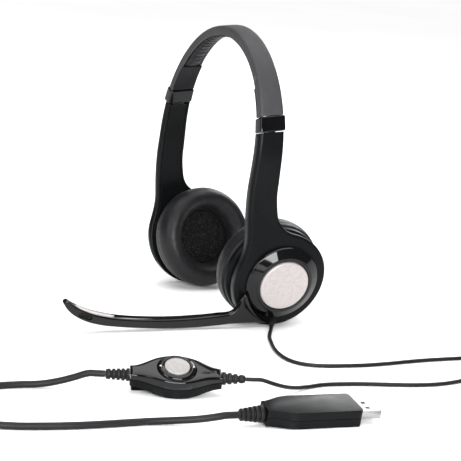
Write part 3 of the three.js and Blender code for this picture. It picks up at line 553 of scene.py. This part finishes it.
# ---- the arch ----
def arch_point(degrees, depth=0.0):
    """(x, z) at a depth below the arch's outer surface."""
    angle = math.radians(degrees)
    normal = Vector((ARCH_RISE * math.cos(angle), ARCH_HALF_WIDTH * math.sin(angle))).normalized()
    point = Vector((ARCH_HALF_WIDTH * math.cos(angle), ARCH_SPRING_Z + ARCH_RISE * math.sin(angle)))
    return point - normal * depth


def band_centre(z):
    return BAND_Y - BAND_LEAN * (z - BAND_BEND_Z)


def band_half(z):
    return (BAND_WIDTH - BAND_TAPER * (z - BAND_BEND_Z)) / 2


def swept_band(name, low, high, section, steps, look, smooth=45):
    """A solid swept along the arch; section(degrees) gives (across in mm from the middle, depth) pairs."""
    loops = []
    for i in range(steps + 1):
        degrees = low + (high - low) * i / steps
        loop = []
        for across, depth in section(degrees):
            x, z = arch_point(degrees, depth)
            loop.append((x, band_centre(z) + across, z))
        loops.append(loop)
    points, faces = loft(loops)
    return mesh_object(name, points, faces, HEADSET, look, smooth)


def half_at(degrees, inset):
    return band_half(arch_point(degrees)[1]) - inset


def headband_cover():
    def section(degrees):
        edge = half_at(degrees, 0)
        outline = [(-edge + 1.3, 5.4), (-edge, 5.4), (-edge, 0.1), (0, -0.05), (edge, 0.1), (edge, 5.4),
                   (edge - 1.3, 5.4), (edge - 1.3, 1.4), (-edge + 1.3, 1.4), (-edge + 1.3, 5.4)]
        soft = rounded(outline, [0.5, 1.5, 3, 1.5, 0.5, 0.4, 0.6, 0.6], 4)
        return [tuple(p) for p in soft[:-1]]
    return swept_band("headband_shell", BAND_END, 180 - BAND_END, section, 120, "headband")


PLEATS = 24
PLEAT_LOW = 44
PLEAT_HIGH = 136


def headband_pad():
    """A foam pad in a sleeve with cross pleats, pulled in at each stitch line."""
    def section(degrees):
        place = (degrees - PLEAT_LOW) / (PLEAT_HIGH - PLEAT_LOW) * PLEATS
        inside = 0 < place < PLEATS
        ridge = abs(math.sin(math.pi * place)) ** 0.6 if inside else 1.0
        fade = min(1, (degrees - ADJUSTER_END) / 3, (180 - ADJUSTER_END - degrees) / 3)
        edge = half_at(degrees, 1.7) - 0.45 * (1 - ridge)
        wobble = 0.12 * noise.noise(Vector((degrees * 0.9, 0, 0)))
        points = []
        count = 26
        for i in range(count + 1):
            share = -1 + 2 * i / count
            crown = (1 - abs(share) ** 3.2) ** 0.5
            pucker = 0.1 * noise.noise(Vector((degrees * 0.7, share * 4, 3)))
            depth = 4.0 + (2.35 + 0.85 * ridge * max(fade, 0.1) + wobble) * crown + pucker * crown
            points.append((share * edge, depth))
        return [*points, (edge, 3.1), (edge * 0.9, 2.9), (-edge * 0.9, 2.9), (-edge, 3.1)]
    low = ADJUSTER_END + 0.7
    return swept_band("headband_cushion", low, 180 - low, section, 384, "pad", 80)


def rounded_box_section(edge, top, bottom, radius):
    outline = [(0, top), (edge, top), (edge, bottom), (-edge, bottom), (-edge, top), (0, top)]
    return [tuple(p) for p in rounded(outline, radius, 4)[:-1]]


def band_block(name, side, low, high, top, bottom, inset, radius, look):
    """A rounded block that follows the arch, with softened ends."""
    def section(degrees):
        reach = min(degrees - low, high - degrees)
        ease = min(reach / 0.55, 1)
        shrink = radius * 0.6 * (1 - math.sqrt(max(1 - (1 - ease) ** 2, 0)))
        return rounded_box_section(half_at(degrees, inset) - shrink, top + shrink, bottom - shrink, radius)
    steps = 40
    loops = []
    for i in range(steps + 1):
        share = 0.5 - 0.5 * math.cos(math.pi * i / steps)
        degrees = low + (high - low) * share
        loop = []
        for across, depth in section(degrees):
            x, z = arch_point(degrees, depth)
            loop.append((side * x, band_centre(z) + across, z))
        loops.append(loop)
    points, faces = loft(loops)
    return mesh_object(name, points, faces, HEADSET, look, 60)


finish_piece(headband_cover(), "headband", ["headband_cover"])
finish_piece(headband_pad(), "headband", ["headband_pad"])
for label, side in (("left", -1), ("right", 1)):
    collar = band_block(f"{label}_collar_ring", side, COLLAR_LOW, COLLAR_HIGH, -0.45, 7.3, -0.45, 1.1,
                        "gloss")
    finish_piece(collar, "headband", [f"{label}_collar"])
    inner = band_block(f"{label}_adjuster_lid", side, BAND_END + 0.25, ADJUSTER_END, 5.75, 6.95, 0.2, 0.5,
                       "inner")
    finish_piece(inner, "headband", [f"{label}_adjuster_cover"])


# ---- arms ----
def run_corner():
    """The bend between the cup's outer plane and the upright arm: its middle height and the plane's point."""
    plane_x = CUP_X - SHELL_DEPTH * math.cos(CUP_TILT)
    plane_z = CUP_Z + SHELL_DEPTH * math.sin(CUP_TILT)
    corner_z = plane_z + (ARCH_HALF_WIDTH - plane_x) / math.tan(CUP_TILT)
    return corner_z + ARM_BEND_RADIUS * math.tan(CUP_TILT / 2), plane_x, plane_z


BEND_Z, PLANE_X, PLANE_Z = run_corner()


def arm_x(z, depth):
    """How far out the arm's surface is at a height, at a depth below its outer face."""
    if z > ARCH_SPRING_Z:
        low, high = 0.0, 24.0
        for _ in range(24):
            middle = (low + high) / 2
            if arch_point(middle, depth)[1] < z:
                low = middle
            else:
                high = middle
        return arch_point(low, depth)[0]
    if z > BEND_Z:
        return ARCH_HALF_WIDTH - depth
    bend = ARM_BEND_RADIUS - depth
    drop = BEND_Z - z
    if drop < bend * math.sin(CUP_TILT):
        return ARCH_HALF_WIDTH - ARM_BEND_RADIUS + math.sqrt(bend ** 2 - drop ** 2)
    plane_x = PLANE_X - depth * math.cos(CUP_TILT)
    plane_z = PLANE_Z + depth * math.sin(CUP_TILT)
    return plane_x + (z - plane_z) * math.tan(CUP_TILT)


def arm_outline(inset, top_inset):
    """The arm's side view as (y, z) points, always the same number of them."""
    radius = SHELL_RADIUS - inset
    join_angle, leave_angle = math.radians(22), math.radians(108)

    def on_round(angle):
        return Vector((radius * math.cos(angle), SHELL_CENTRE_Z + radius * math.sin(angle)))

    def front(z):
        return Vector((band_centre(z) + band_half(z) - inset, z))

    def rear(z):
        return Vector((band_centre(z) - band_half(z) + inset, z))

    top = 125 - top_inset
    bend_front, bend_rear = front(BAND_BEND_Z + 6), rear(BAND_BEND_Z + 6)
    foot_front, foot_rear = Vector((22.2 - inset, 60)), Vector((3.3 + inset, 71))
    join, leave = on_round(join_angle), on_round(leave_angle)
    points = [front(top)]
    points += line(front(top), bend_front, 10)
    points += bezier(bend_front, bend_front + Vector((1.4, -9)), foot_front + Vector((0, 10)), foot_front, 16)
    points += bezier(foot_front, foot_front + Vector((0.1, -8)), join + Vector((-2.6, 6.5)), join, 14)
    sweep = leave_angle - 2 * math.pi - join_angle
    points += [on_round(join_angle + sweep * i / 84) for i in range(1, 85)]
    points += bezier(leave, leave + Vector((6.5, 2.1)), foot_rear + Vector((-0.6, -8)), foot_rear, 16)
    points += bezier(foot_rear, foot_rear + Vector((0.5, 6)), bend_rear + Vector((1.2, -6)), bend_rear, 10)
    points += line(bend_rear, rear(top), 10)
    return points


END_SLOPE = 1.4 * 0.72 * math.sin(math.radians(ARM_TOP))


def arm_piece(name, side, loops, look, top_z):
    """An arm piece from loops (inset, top inset, depth): its two faces are cut in level strips that bend."""
    built = bmesh.new()
    rings = []
    for inset, top_inset, depth in loops:
        rings.append([built.verts.new((p[0], p[1], depth)) for p in arm_outline(inset, top_inset)])
    count = len(rings[0])
    for a, b in zip(rings, rings[1:]):
        for i in range(count):
            j = (i + 1) % count
            built.faces.new((a[i], a[j], b[j], b[i]))
    built.faces.new(rings[0])
    built.faces.new(rings[-1])
    height = 1.0
    while height < top_z + 6:
        geometry = [*built.verts, *built.edges, *built.faces]
        bmesh.ops.bisect_plane(built, geom=geometry, plane_co=(0, height, 0), plane_no=(0, 1, 0), dist=1e-5)
        height += 2.5
    for y in (-18, -9, 0, 9, 18):
        geometry = [*built.verts, *built.edges, *built.faces]
        bmesh.ops.bisect_plane(built, geom=geometry, plane_co=(y, 0, 0), plane_no=(1, 0, 0), dist=1e-5)
    toe = math.tan(CUP_TOE)
    end_cut = arch_point(ARM_TOP)[1]
    index = {v: i for i, v in enumerate(built.verts)}
    points = []
    for v in built.verts:
        y, z, depth = v.co
        z = min(z, end_cut - END_SLOPE * depth)
        points.append((side * (arm_x(z, depth) - toe * y), y, z))
    faces = [[index[v] for v in f.verts] for f in built.faces]
    built.free()
    return mesh_object(name, points, faces, HEADSET, look, 50)


def fillet(radius, steps=5):
    """(inset, depth) pairs of a rounded edge, from the side wall to the face."""
    angles = [math.pi / 2 * i / steps for i in range(steps + 1)]
    return [(radius * (1 - math.cos(angle)), radius * (1 - math.sin(angle))) for angle in angles]


ARM_FILLET = 2.0
ARM_WALL = 1.5
RIM_INSET = 1.7


def arm_shell(label, side):
    top = 5.0
    loops = [(RIM_INSET, top + 2, ARM_WALL), (RIM_INSET, top + 2, ARM_THICK - 0.15), (ARM_WALL, top, ARM_THICK),
             (0.4, top, ARM_THICK), (0, top, ARM_THICK - 0.4)]
    loops += [(inset, top, depth) for inset, depth in fillet(ARM_FILLET)]
    loops.append((ARM_FILLET + 0.5, top, 0))
    return arm_piece(f"{label}_arm", side, loops, "satin", 121)


def arm_cover(label, side):
    inset = RIM_INSET + 1.5 * GAP
    loops = [(inset, 8, ARM_THICK - 1.4), (inset, 8, ARM_THICK - 0.3), (inset + 0.25, 8.2, ARM_THICK),
             (inset + 0.8, 8.8, ARM_THICK)]
    return arm_piece(f"{label}_arm_lid", side, loops, "satin", 118)


for label, side in (("left", -1), ("right", 1)):
    finish_piece(arm_shell(label, side), f"{label}_arm", [f"{label}_arm_shell"])
    finish_piece(arm_cover(label, side), f"{label}_arm", [f"{label}_arm_cover"])


# ---- discs, rings and ear cups ----
def disc(label, place):
    profile = rounded([(0, 0.12), (9, 0.05), (DISC_RADIUS - 0.5, 0), (DISC_RADIUS, 0.55), (DISC_RADIUS, 2.5),
                       (RING_BORE - 0.4, 2.5), (RING_BORE - 0.4, SHELL_DEPTH - GAP), (0, SHELL_DEPTH - GAP)],
                      [2, 0.6, 0.4, 0.3, 0.3, 0.3], 4)
    return lathe(f"{label}_round_cover", profile, place, "silver")


def hub_ring(name, place):
    profile = rounded([(RING_BORE, 4), (RING_BORE, 2.9), (DISC_RADIUS + 0.4, 2.9), (DISC_RADIUS + 0.4, 1.0),
                       (16.6, 0.75), (17.8, 0.95), (RING_RADIUS - 0.35, 4.0),
                       (RING_RADIUS, SHELL_DEPTH - GAP), (RING_BORE, SHELL_DEPTH - GAP), (RING_BORE, 4)],
                      [0.2, 0.2, 0.5, 0.6, 0.9, 0.6, 0.3, 0.3], 5)
    return lathe(name, profile[:-1], place, "gloss", 128)


def cup_housing(label, place):
    front, rim = HOUSING_DEPTH, HOUSING_RADIUS
    profile = rounded([(0, front), (24, front), (rim - 0.5, front + 2.4), (rim, front + 5.2),
                       (rim - 1.9, front + 5.2), (rim - 2.1, front + 3.4), (23.4, front + 1.5),
                       (0, front + 1.5)],
                      [4, 1.6, 0.3, 0.3, 0.6, 1.5], 5)
    return lathe(f"{label}_cup_back", profile, place, "satin")


def cushion_warp(seed):
    """Soft puckers round the seams and a slightly uneven foam."""
    def warp(angle, radius, depth):
        across = Vector((math.cos(angle), math.sin(angle), 0))
        inner_seam = math.exp(-((radius - 17.6) / 1.9) ** 2) * (1 if depth < 31 else 0.35)
        outer_seam = math.exp(-((depth - 23.4) / 1.5) ** 2) * (1 if radius > 28 else 0)
        pleat = math.sin(angle * 46 + 2.5 * noise.noise(across * 3 + Vector((seed, 0, 0))))
        lump = noise.noise(across * 2.2 + Vector((seed, depth * 0.12, 1)))
        fold = noise.noise(across * 9 + Vector((seed, depth * 0.35, radius * 0.3)))
        crest = math.exp(-((radius - 24.8) / 6) ** 2)
        shift = 0.16 * pleat * (inner_seam + 0.4 * outer_seam) + 0.16 * fold + 0.28 * lump * crest
        swell = 0.12 * lump if radius > 25 else -0.1 * lump
        return radius + swell, depth + shift * (1 if depth > 22.5 else 0)
    return warp


def ear_cushion(label, place, seed):
    profile = catmull([(17.35, 21.2), (17.25, 24.2), (17.5, 28.2), (18.9, 32.4), (21.6, 35.6), (24.9, 36.55),
                       (28.1, 35.4), (30.6, 32.2), (31.7, 28.2), (31.75, 25.2), (31.5, 24.2), (31.55, 23.3),
                       (31.2, 21.6), (30.2, 20.95)], 6)
    warp = cushion_warp(seed)
    return lathe(f"{label}_ear_pad", [tuple(p) for p in profile], place, "cushion", 256, warp, 80)


def cloth_disc(label, place):
    radius = 16.9
    profile = rounded([(0, 24.0), (radius, 24.0), (radius, 24.75), (12, 25.0), (0, 25.1)], [0.2, 0.3, 3], 4)
    return lathe(f"{label}_speaker_cloth", profile, place, "cloth")


for label, side in (("left", -1), ("right", 1)):
    fixed, hung = cup_frame(side), cup_frame(side, CUP_DROP)
    finish_piece(disc(label, fixed), f"{label}_arm", [f"{label}_disc"])
    finish_piece(cup_housing(label, hung), f"{label}_ear_cup", [f"{label}_cup_housing"])
    pad = finish_piece(ear_cushion(label, hung, 3.7 * side), f"{label}_ear_cup", [f"{label}_ear_cushion"])
    finish_piece(cloth_disc(label, hung), f"{label}_ear_cup", [f"{label}_cloth_disc"])
finish_piece(hub_ring("boom_ring", LEFT_CUP), "boom", ["boom_hub_ring"])
finish_piece(hub_ring("right_ring", RIGHT_CUP), "right_arm", ["right_trim_ring"])


# ---- boom ----
def boom_edges():
    """The boom's top and bottom edges as equal lists, from its tail under the hub to its tip."""
    tail = (8, -24.4)
    top = [Vector(tail)]
    top += bezier(tail, (14, -22), (20, -15), (23.4, -4.2), 22)
    top += bezier((23.4, -4.2), (23.7, -3.2), (24.9, -3.5), (25.3, -5), 6)
    top += bezier((25.3, -5), (26.6, -9.6), (28, -15.2), (35, -15.6), 16)
    top += bezier((35, -15.6), (60, -16.6), (86, -13.6), (106, -8.8), 40)
    top += bezier((106, -8.8), (117, -5.8), (126, -1.5), (132.4, 4.4), 30)
    top += bezier((132.4, 4.4), (133.2, 5.0), (133.9, 5.1), (134.4, 4.9), 6)
    bottom = [Vector(tail)]
    bottom += bezier((8, -24.4), (14, -24.4), (24, -22.9), (35, -22.6), 44)
    bottom += bezier((35, -22.6), (60, -22.6), (84, -19.2), (106, -14.4), 40)
    bottom += bezier((106, -14.4), (120, -11.5), (131, -5.5), (134.9, 2.0), 30)
    bottom += bezier((134.9, 2.0), (135.3, 2.7), (135.5, 3.2), (135.5, 3.6), 6)
    return top, bottom


BOOM_PLAN = [(5, 1.3, 5.0), (30, 1.2, 5.0), (40, 1.1, 6.3), (60, 1.0, 6.8), (90, 0.9, 7.2), (118, 0.8, 8.0),
             (128, 1.2, 7.8), (134, 2.4, 6.9), (136, 3.6, 5.8)]


def boom_depths(along):
    """Front and back depth at a distance along the boom."""
    if along <= BOOM_PLAN[0][0]:
        return BOOM_PLAN[0][1:]
    for (x0, f0, b0), (x1, f1, b1) in zip(BOOM_PLAN, BOOM_PLAN[1:]):
        if along <= x1:
            t = (along - x0) / (x1 - x0)
            t = t * t * (3 - 2 * t)
            return f0 + (f1 - f0) * t, b0 + (b1 - b0) * t
    return BOOM_PLAN[-1][1:]


def boom_arm():
    top, bottom = boom_edges()
    loops = []
    for high, low in zip(top, bottom):
        across = high - low
        width = max(across.length, 0.35)
        if across.length < 0.35:
            low = high - Vector((0.1, 0.35))
        front, back = boom_depths((high[0] + low[0]) / 2)
        radius = min(1.5, 0.42 * width, 0.42 * (back - front))
        outline = [(0.5, front - 0.15), (1, front), (1, back), (0, back), (0, front), (0.5, front - 0.15)]
        scaled = [(share * width, depth) for share, depth in outline]
        soft = rounded(scaled, [radius, radius * 0.8, radius * 0.8, radius], 5)
        direction = (high - low).normalized()
        loops.append([(*(low + direction * s), d) for s, d in soft[:-1]])
    points, faces = loft(loops)
    return mesh_object("boom_tube", points, faces, LEFT_CUP, "gloss", 50)


MIC_PLACE = Vector((123, -5.2))
MIC_TURN = 0.42


def slot_loop(radius, half, depth, steps=14):
    """A round-ended slot on the boom's face."""
    along = Vector((math.cos(MIC_TURN), math.sin(MIC_TURN)))
    loop = []
    for end, start in ((1, -math.pi / 2), (-1, math.pi / 2)):
        for i in range(steps + 1):
            angle = MIC_TURN + start + math.pi * i / steps
            p = MIC_PLACE + along * half * end + Vector((math.cos(angle), math.sin(angle))) * radius
            loop.append((p[0], p[1], depth))
    return loop


def cut_from(thing, cutter):
    """Cuts one mesh out of another for good."""
    modifier = thing.modifiers.new("cut", "BOOLEAN")
    modifier.object = cutter
    modifier.solver = "EXACT"
    bpy.context.view_layer.update()
    apply_modifiers(thing)
    bpy.data.objects.remove(cutter)
    thing.data.shade_smooth()
    thing.data.set_sharp_from_angle(angle=math.radians(45))
    return thing


def boom_with_slot():
    boom = boom_arm()
    points, faces = loft([slot_loop(1.45, 3, -2), slot_loop(1.45, 3, 3.2)])
    return cut_from(boom, mesh_object("slot_cutter", points, faces, LEFT_CUP, "gloss"))


def boom_inlay():
    """A thin strip let into the boom's top edge, near its tip."""
    top, _ = boom_edges()
    run = [p for p in top if 103.5 < p[0] < 128.5 and p[1] > -20]
    loops = []
    for i, p in enumerate(run):
        ahead = run[min(i + 1, len(run) - 1)] - run[max(i - 1, 0)]
        normal = Vector((-ahead[1], ahead[0])).normalized()
        end = min(i, len(run) - 1 - i)
        half = 1.75 * min(1, math.sqrt((end + 0.3) / 3))
        lift = 0.16
        middle = 4.4
        outline = [(-0.5, middle - half), (lift - 0.05, middle - half), (lift, middle - half + 0.15),
                   (lift, middle + half - 0.15), (lift - 0.05, middle + half), (-0.5, middle + half)]
        loops.append([(*(p + normal * n), d) for n, d in outline])
    points, faces = loft(loops)
    return mesh_object("boom_strip", points, faces, LEFT_CUP, "silver", 40)


def mic_grille():
    """A perforated insert that sits in the slot."""
    loops = [slot_loop(1.2, 3, 2.0), slot_loop(1.2, 3, 1.35), slot_loop(1.05, 3, 1.2)]
    points, faces = loft(loops)
    return mesh_object("microphone_mesh", points, faces, LEFT_CUP, "cloth")


finish_piece(boom_with_slot(), "boom", ["boom_arm"])
finish_piece(boom_inlay(), "boom", ["boom_inlay"])
finish_piece(mic_grille(), "boom", ["mic_grille"])


def cord_gland():
    """A short tapered sleeve that the thin cord comes out of."""
    length = (GLAND_TIP - GLAND_BASE).length
    turn = Vector((0, 0, 1)).rotation_difference(GLAND_TIP - GLAND_BASE).to_matrix().to_4x4()
    place = LEFT_CUP @ Matrix.Translation(GLAND_BASE) @ turn
    profile = rounded([(0, 0.2), (1.9, 0.2), (1.95, 1.3), (1.75, 1.6), (1.5, length), (0, length)],
                      [0.2, 0.3, 0.4, 0.5], 3)
    return lathe("cord_sleeve", profile, place, "rubber", 40)


finish_piece(cord_gland(), "left_arm", ["cord_gland"])


# ---- in-line control ----
def control_outline(inset):
    half, wide, end = CONTROL_HALF_LENGTH - inset, CONTROL_HALF_WIDTH - inset, 4.2 - inset
    points = [Vector((-half, -end))]
    points += bezier((-half, -end), (-half + 8, -end), (-10, -wide), (0, -wide), 24)
    points += bezier((0, -wide), (10, -wide), (half - 8, -end), (half, -end), 24)
    points += line((half, -end), (half, end), 6)
    points += bezier((half, end), (half - 8, end), (10, wide), (0, wide), 24)
    points += bezier((0, wide), (-10, wide), (-half + 8, end), (-half, end), 24)
    points += line((-half, end), (-half, -end), 6)[:-1]
    return points


def control_height(x):
    """The housing's top, lower towards its two ends."""
    t = min(max((abs(x) - 9) / 15, 0), 1)
    return 5.2 - 1.7 * t * t * (3 - 2 * t)


def control_half(name, way, look):
    """One half of the housing, with a soft rim and a shallow seam."""
    loops = [[(*p, way * 0.15) for p in control_outline(0.25)], [(*p, way * 0.4) for p in control_outline(0)]]
    radius = 1.5
    for inset, depth in fillet(radius, 6):
        loops.append([(*p, way * (control_height(p[0]) - depth)) for p in control_outline(inset)])
    for inset in (2.2, 3.2):
        loops.append([(*p, way * (control_height(p[0]) + 0.1)) for p in control_outline(inset)])
    points, faces = loft(loops)
    return mesh_object(name, points, faces, CONTROL, look, 50)


def control_top():
    housing = control_half("control_lid", 1, "gloss")
    points, faces = loft([[(*p, z) for p in control_outline(1.5)] for z in (-1, 1.5)])
    housing = cut_from(housing, mesh_object("hollow_cutter", points, faces, CONTROL, "gloss"))
    profile = [(0, -1), (2.4, -1), (2.4, 2.0), (10.3, 2.0), (10.3, 9), (0, 9)]
    return cut_from(housing, lathe("hole_cutter", profile, CONTROL, "gloss", 96))


def volume_ring():
    profile = rounded([(6.9, 4), (6.9, 6.6), (7.9, 6.95), (9.3, 6.3), (9.9, 5.2), (9.9, 2.6), (6.9, 2.6),
                       (6.9, 4)],
                      [0.3, 0.8, 0.8, 0.8, 0.3, 0.3], 5)
    return lathe("volume_ring", profile[:-1], CONTROL, "gloss", 128)


def mute_cap():
    profile = rounded([(0, 1.2), (2, 1.2), (2, 4), (6.5, 4), (6.5, 6.9), (5.9, 7.15), (4, 7.0), (0, 6.9)],
                      [0.2, 0.3, 0.3, 0.3, 0.3, 1.2], 5)
    return lathe("mute_cap", profile, CONTROL, "cap", 96)


def raised_bar(name, centre, half_x, half_y, z):
    """A thin raised bar of the volume marks."""
    x, y = centre
    corners = [(x + i * half_x, y + j * half_y) for i, j in ((-1, -1), (1, -1), (1, 1), (-1, 1))]
    points, faces = loft([[(*c, z - 0.25) for c in corners], [(*c, z + 0.04) for c in corners]])
    return mesh_object(name, points, faces, CONTROL, "marks")


finish_piece(control_top(), "left_arm", ["control_top"])
finish_piece(volume_ring(), "volume_rocker", ["volume_rocker"])
finish_piece(mute_cap(), "mute_button", ["mute_button"])
MARK_BARS = (("minus_mark", (-8.35, 0), 0.16, 0.75), ("plus_mark_a", (8.35, 0), 0.16, 0.75),
             ("plus_mark_b", (8.35, 0), 0.75, 0.16))
for name, centre, half_x, half_y in MARK_BARS:
    finish_piece(raised_bar(name, centre, half_x, half_y, 6.78), "volume_rocker")


def finned_relief(name, place, length, start, end, fins, look="rubber"):
    """A moulded relief of rings along x that get smaller away from the housing."""
    pitch = length / fins
    corners = [(0, 0)]
    for i in range(fins):
        radius = start + (end - start) * i / (fins - 1)
        corners += [(radius, i * pitch), (radius, i * pitch + 0.6 * pitch)]
        if i < fins - 1:
            groove = radius - 0.9
            corners += [(groove, i * pitch + 0.66 * pitch), (groove, (i + 1) * pitch - 0.06 * pitch)]
    corners += [(end - 0.5, length), (0, length)]
    turn = Matrix.Rotation(math.pi / 2, 4, "Y")
    return lathe(name, rounded(corners, 0.35, 3), place @ turn, look, 48)


for name, node, side, end, fins in (("thin_relief", "thin_cord_relief", -1, 2.2, 4),
                                    ("thick_relief", "thick_cord_relief", 1, 2.7, 5)):
    spin = Matrix.Rotation(math.pi if side < 0 else 0, 4, "Z")
    place = CONTROL @ Matrix.Translation((side * (CONTROL_HALF_LENGTH + GAP), 0, 0)) @ spin
    finish_piece(finned_relief(name, place, RELIEF_LENGTH, 3.3, end, fins), "left_arm", [node])
relief = finned_relief("plug_sleeve", PLUG, PLUG_BODY_X - GAP, 3.1, 4.3, 5)
finish_piece(relief, "left_arm", ["plug_relief"])


# ---- CAD pieces that are shown as they are ----
CAD_LOOKS = {
    "inner": ["left_driver_baffle", "right_driver_baffle", "left_driver_diaphragm", "right_driver_diaphragm"],
    "satin": ["control_bottom", "control_clip", "plug_top", "plug_bottom"],
    "steel": ["headband_spring", "left_slider_strip", "right_slider_strip", "left_slider_screw",
              "right_slider_screw", "left_cup_ball", "right_cup_ball", "left_driver_magnet",
              "right_driver_magnet", "mic_capsule", "clip_pin", "mute_switch"],
    "board": ["control_board", "plug_board"],
    "plug_metal": ["usb_shell"],
    "contacts": ["usb_tongue"],
}
BEVELS = {"control_bottom": 0.5, "control_clip": 0.25, "plug_top": 0.8, "plug_bottom": 0.8, "usb_shell": 0.12,
          "left_slider_strip": 0.2, "right_slider_strip": 0.2}


def dress_node(name, look):
    thing = nodes[name]
    thing.data.materials.clear()
    thing.data.materials.append(LOOKS[look])
    for polygon in thing.data.polygons:
        polygon.material_index = 0
    weld = thing.modifiers.new("weld", "WELD")
    weld.merge_threshold = 1e-6
    if name in BEVELS:
        bevel = thing.modifiers.new("soft_edges", "BEVEL")
        bevel.width = BEVELS[name] * MM
        bevel.segments = 3
        bevel.limit_method = "ANGLE"
        bevel.angle_limit = math.radians(40)
        bevel.harden_normals = True
    thing.data.shade_smooth()
    thing.data.set_sharp_from_angle(angle=math.radians(35))


for look, names in CAD_LOOKS.items():
    for name in names:
        dress_node(name, look)


# ---- floor, light and world ----
def make_floor():
    mesh = bpy.data.meshes.new("floor")
    reach = 14
    mesh.from_pydata([(-reach, -reach, 0), (reach, -reach, 0), (reach, reach, 0), (-reach, reach, 0)], [],
                     [(0, 1, 2, 3)])
    floor = bpy.data.objects.new("floor", mesh)
    bpy.context.scene.collection.objects.link(floor)
    material, tree, shader, place = node_material("pale_floor", (0.9, 0.9, 0.9), 0.6)
    tree.links.new(mixed_colour(tree, noise_node(tree, place, 3, 2), (0.89, 0.89, 0.89), (0.91, 0.91, 0.91)),
                   shader.inputs["Base Color"])
    mesh.materials.append(material)


def soft_light(name, place, target, size, power):
    data = bpy.data.lights.new(name, "AREA")
    data.shape = "RECTANGLE"
    data.size, data.size_y = size
    data.energy = power
    light = bpy.data.objects.new(name, data)
    light.location = place
    light.rotation_euler = (Vector(target) - Vector(place)).to_track_quat("-Z", "Y").to_euler()
    bpy.context.scene.collection.objects.link(light)


make_floor()
HEAD = (0, -0.05, 0.07)
soft_light("window", (-1.45, 0.46, 0.50), HEAD, (1.1, 0.5), 34)
soft_light("left_fill", (-0.5, 1.6, 0.8), HEAD, (0.7, 0.9), 14)
soft_light("rear_card", (1.5, -0.85, 0.62), HEAD, (1.6, 0.7), 3)
soft_light("rear_rim", (0.9, -1.2, 0.9), HEAD, (0.8, 0.8), 12)
sky = bpy.data.lights.new("overhead", "SUN")
sky.energy = 3.3
sky.angle = math.radians(70)
bpy.context.scene.collection.objects.link(bpy.data.objects.new("overhead", sky))

world = bpy.data.worlds.new("studio")
bpy.context.scene.world = world
world.use_nodes = True
world.node_tree.nodes["Background"].inputs["Color"].default_value = (1, 1, 1, 1)
world.node_tree.nodes["Background"].inputs["Strength"].default_value = 0.12
bpy.context.scene.view_settings.view_transform = "Standard"
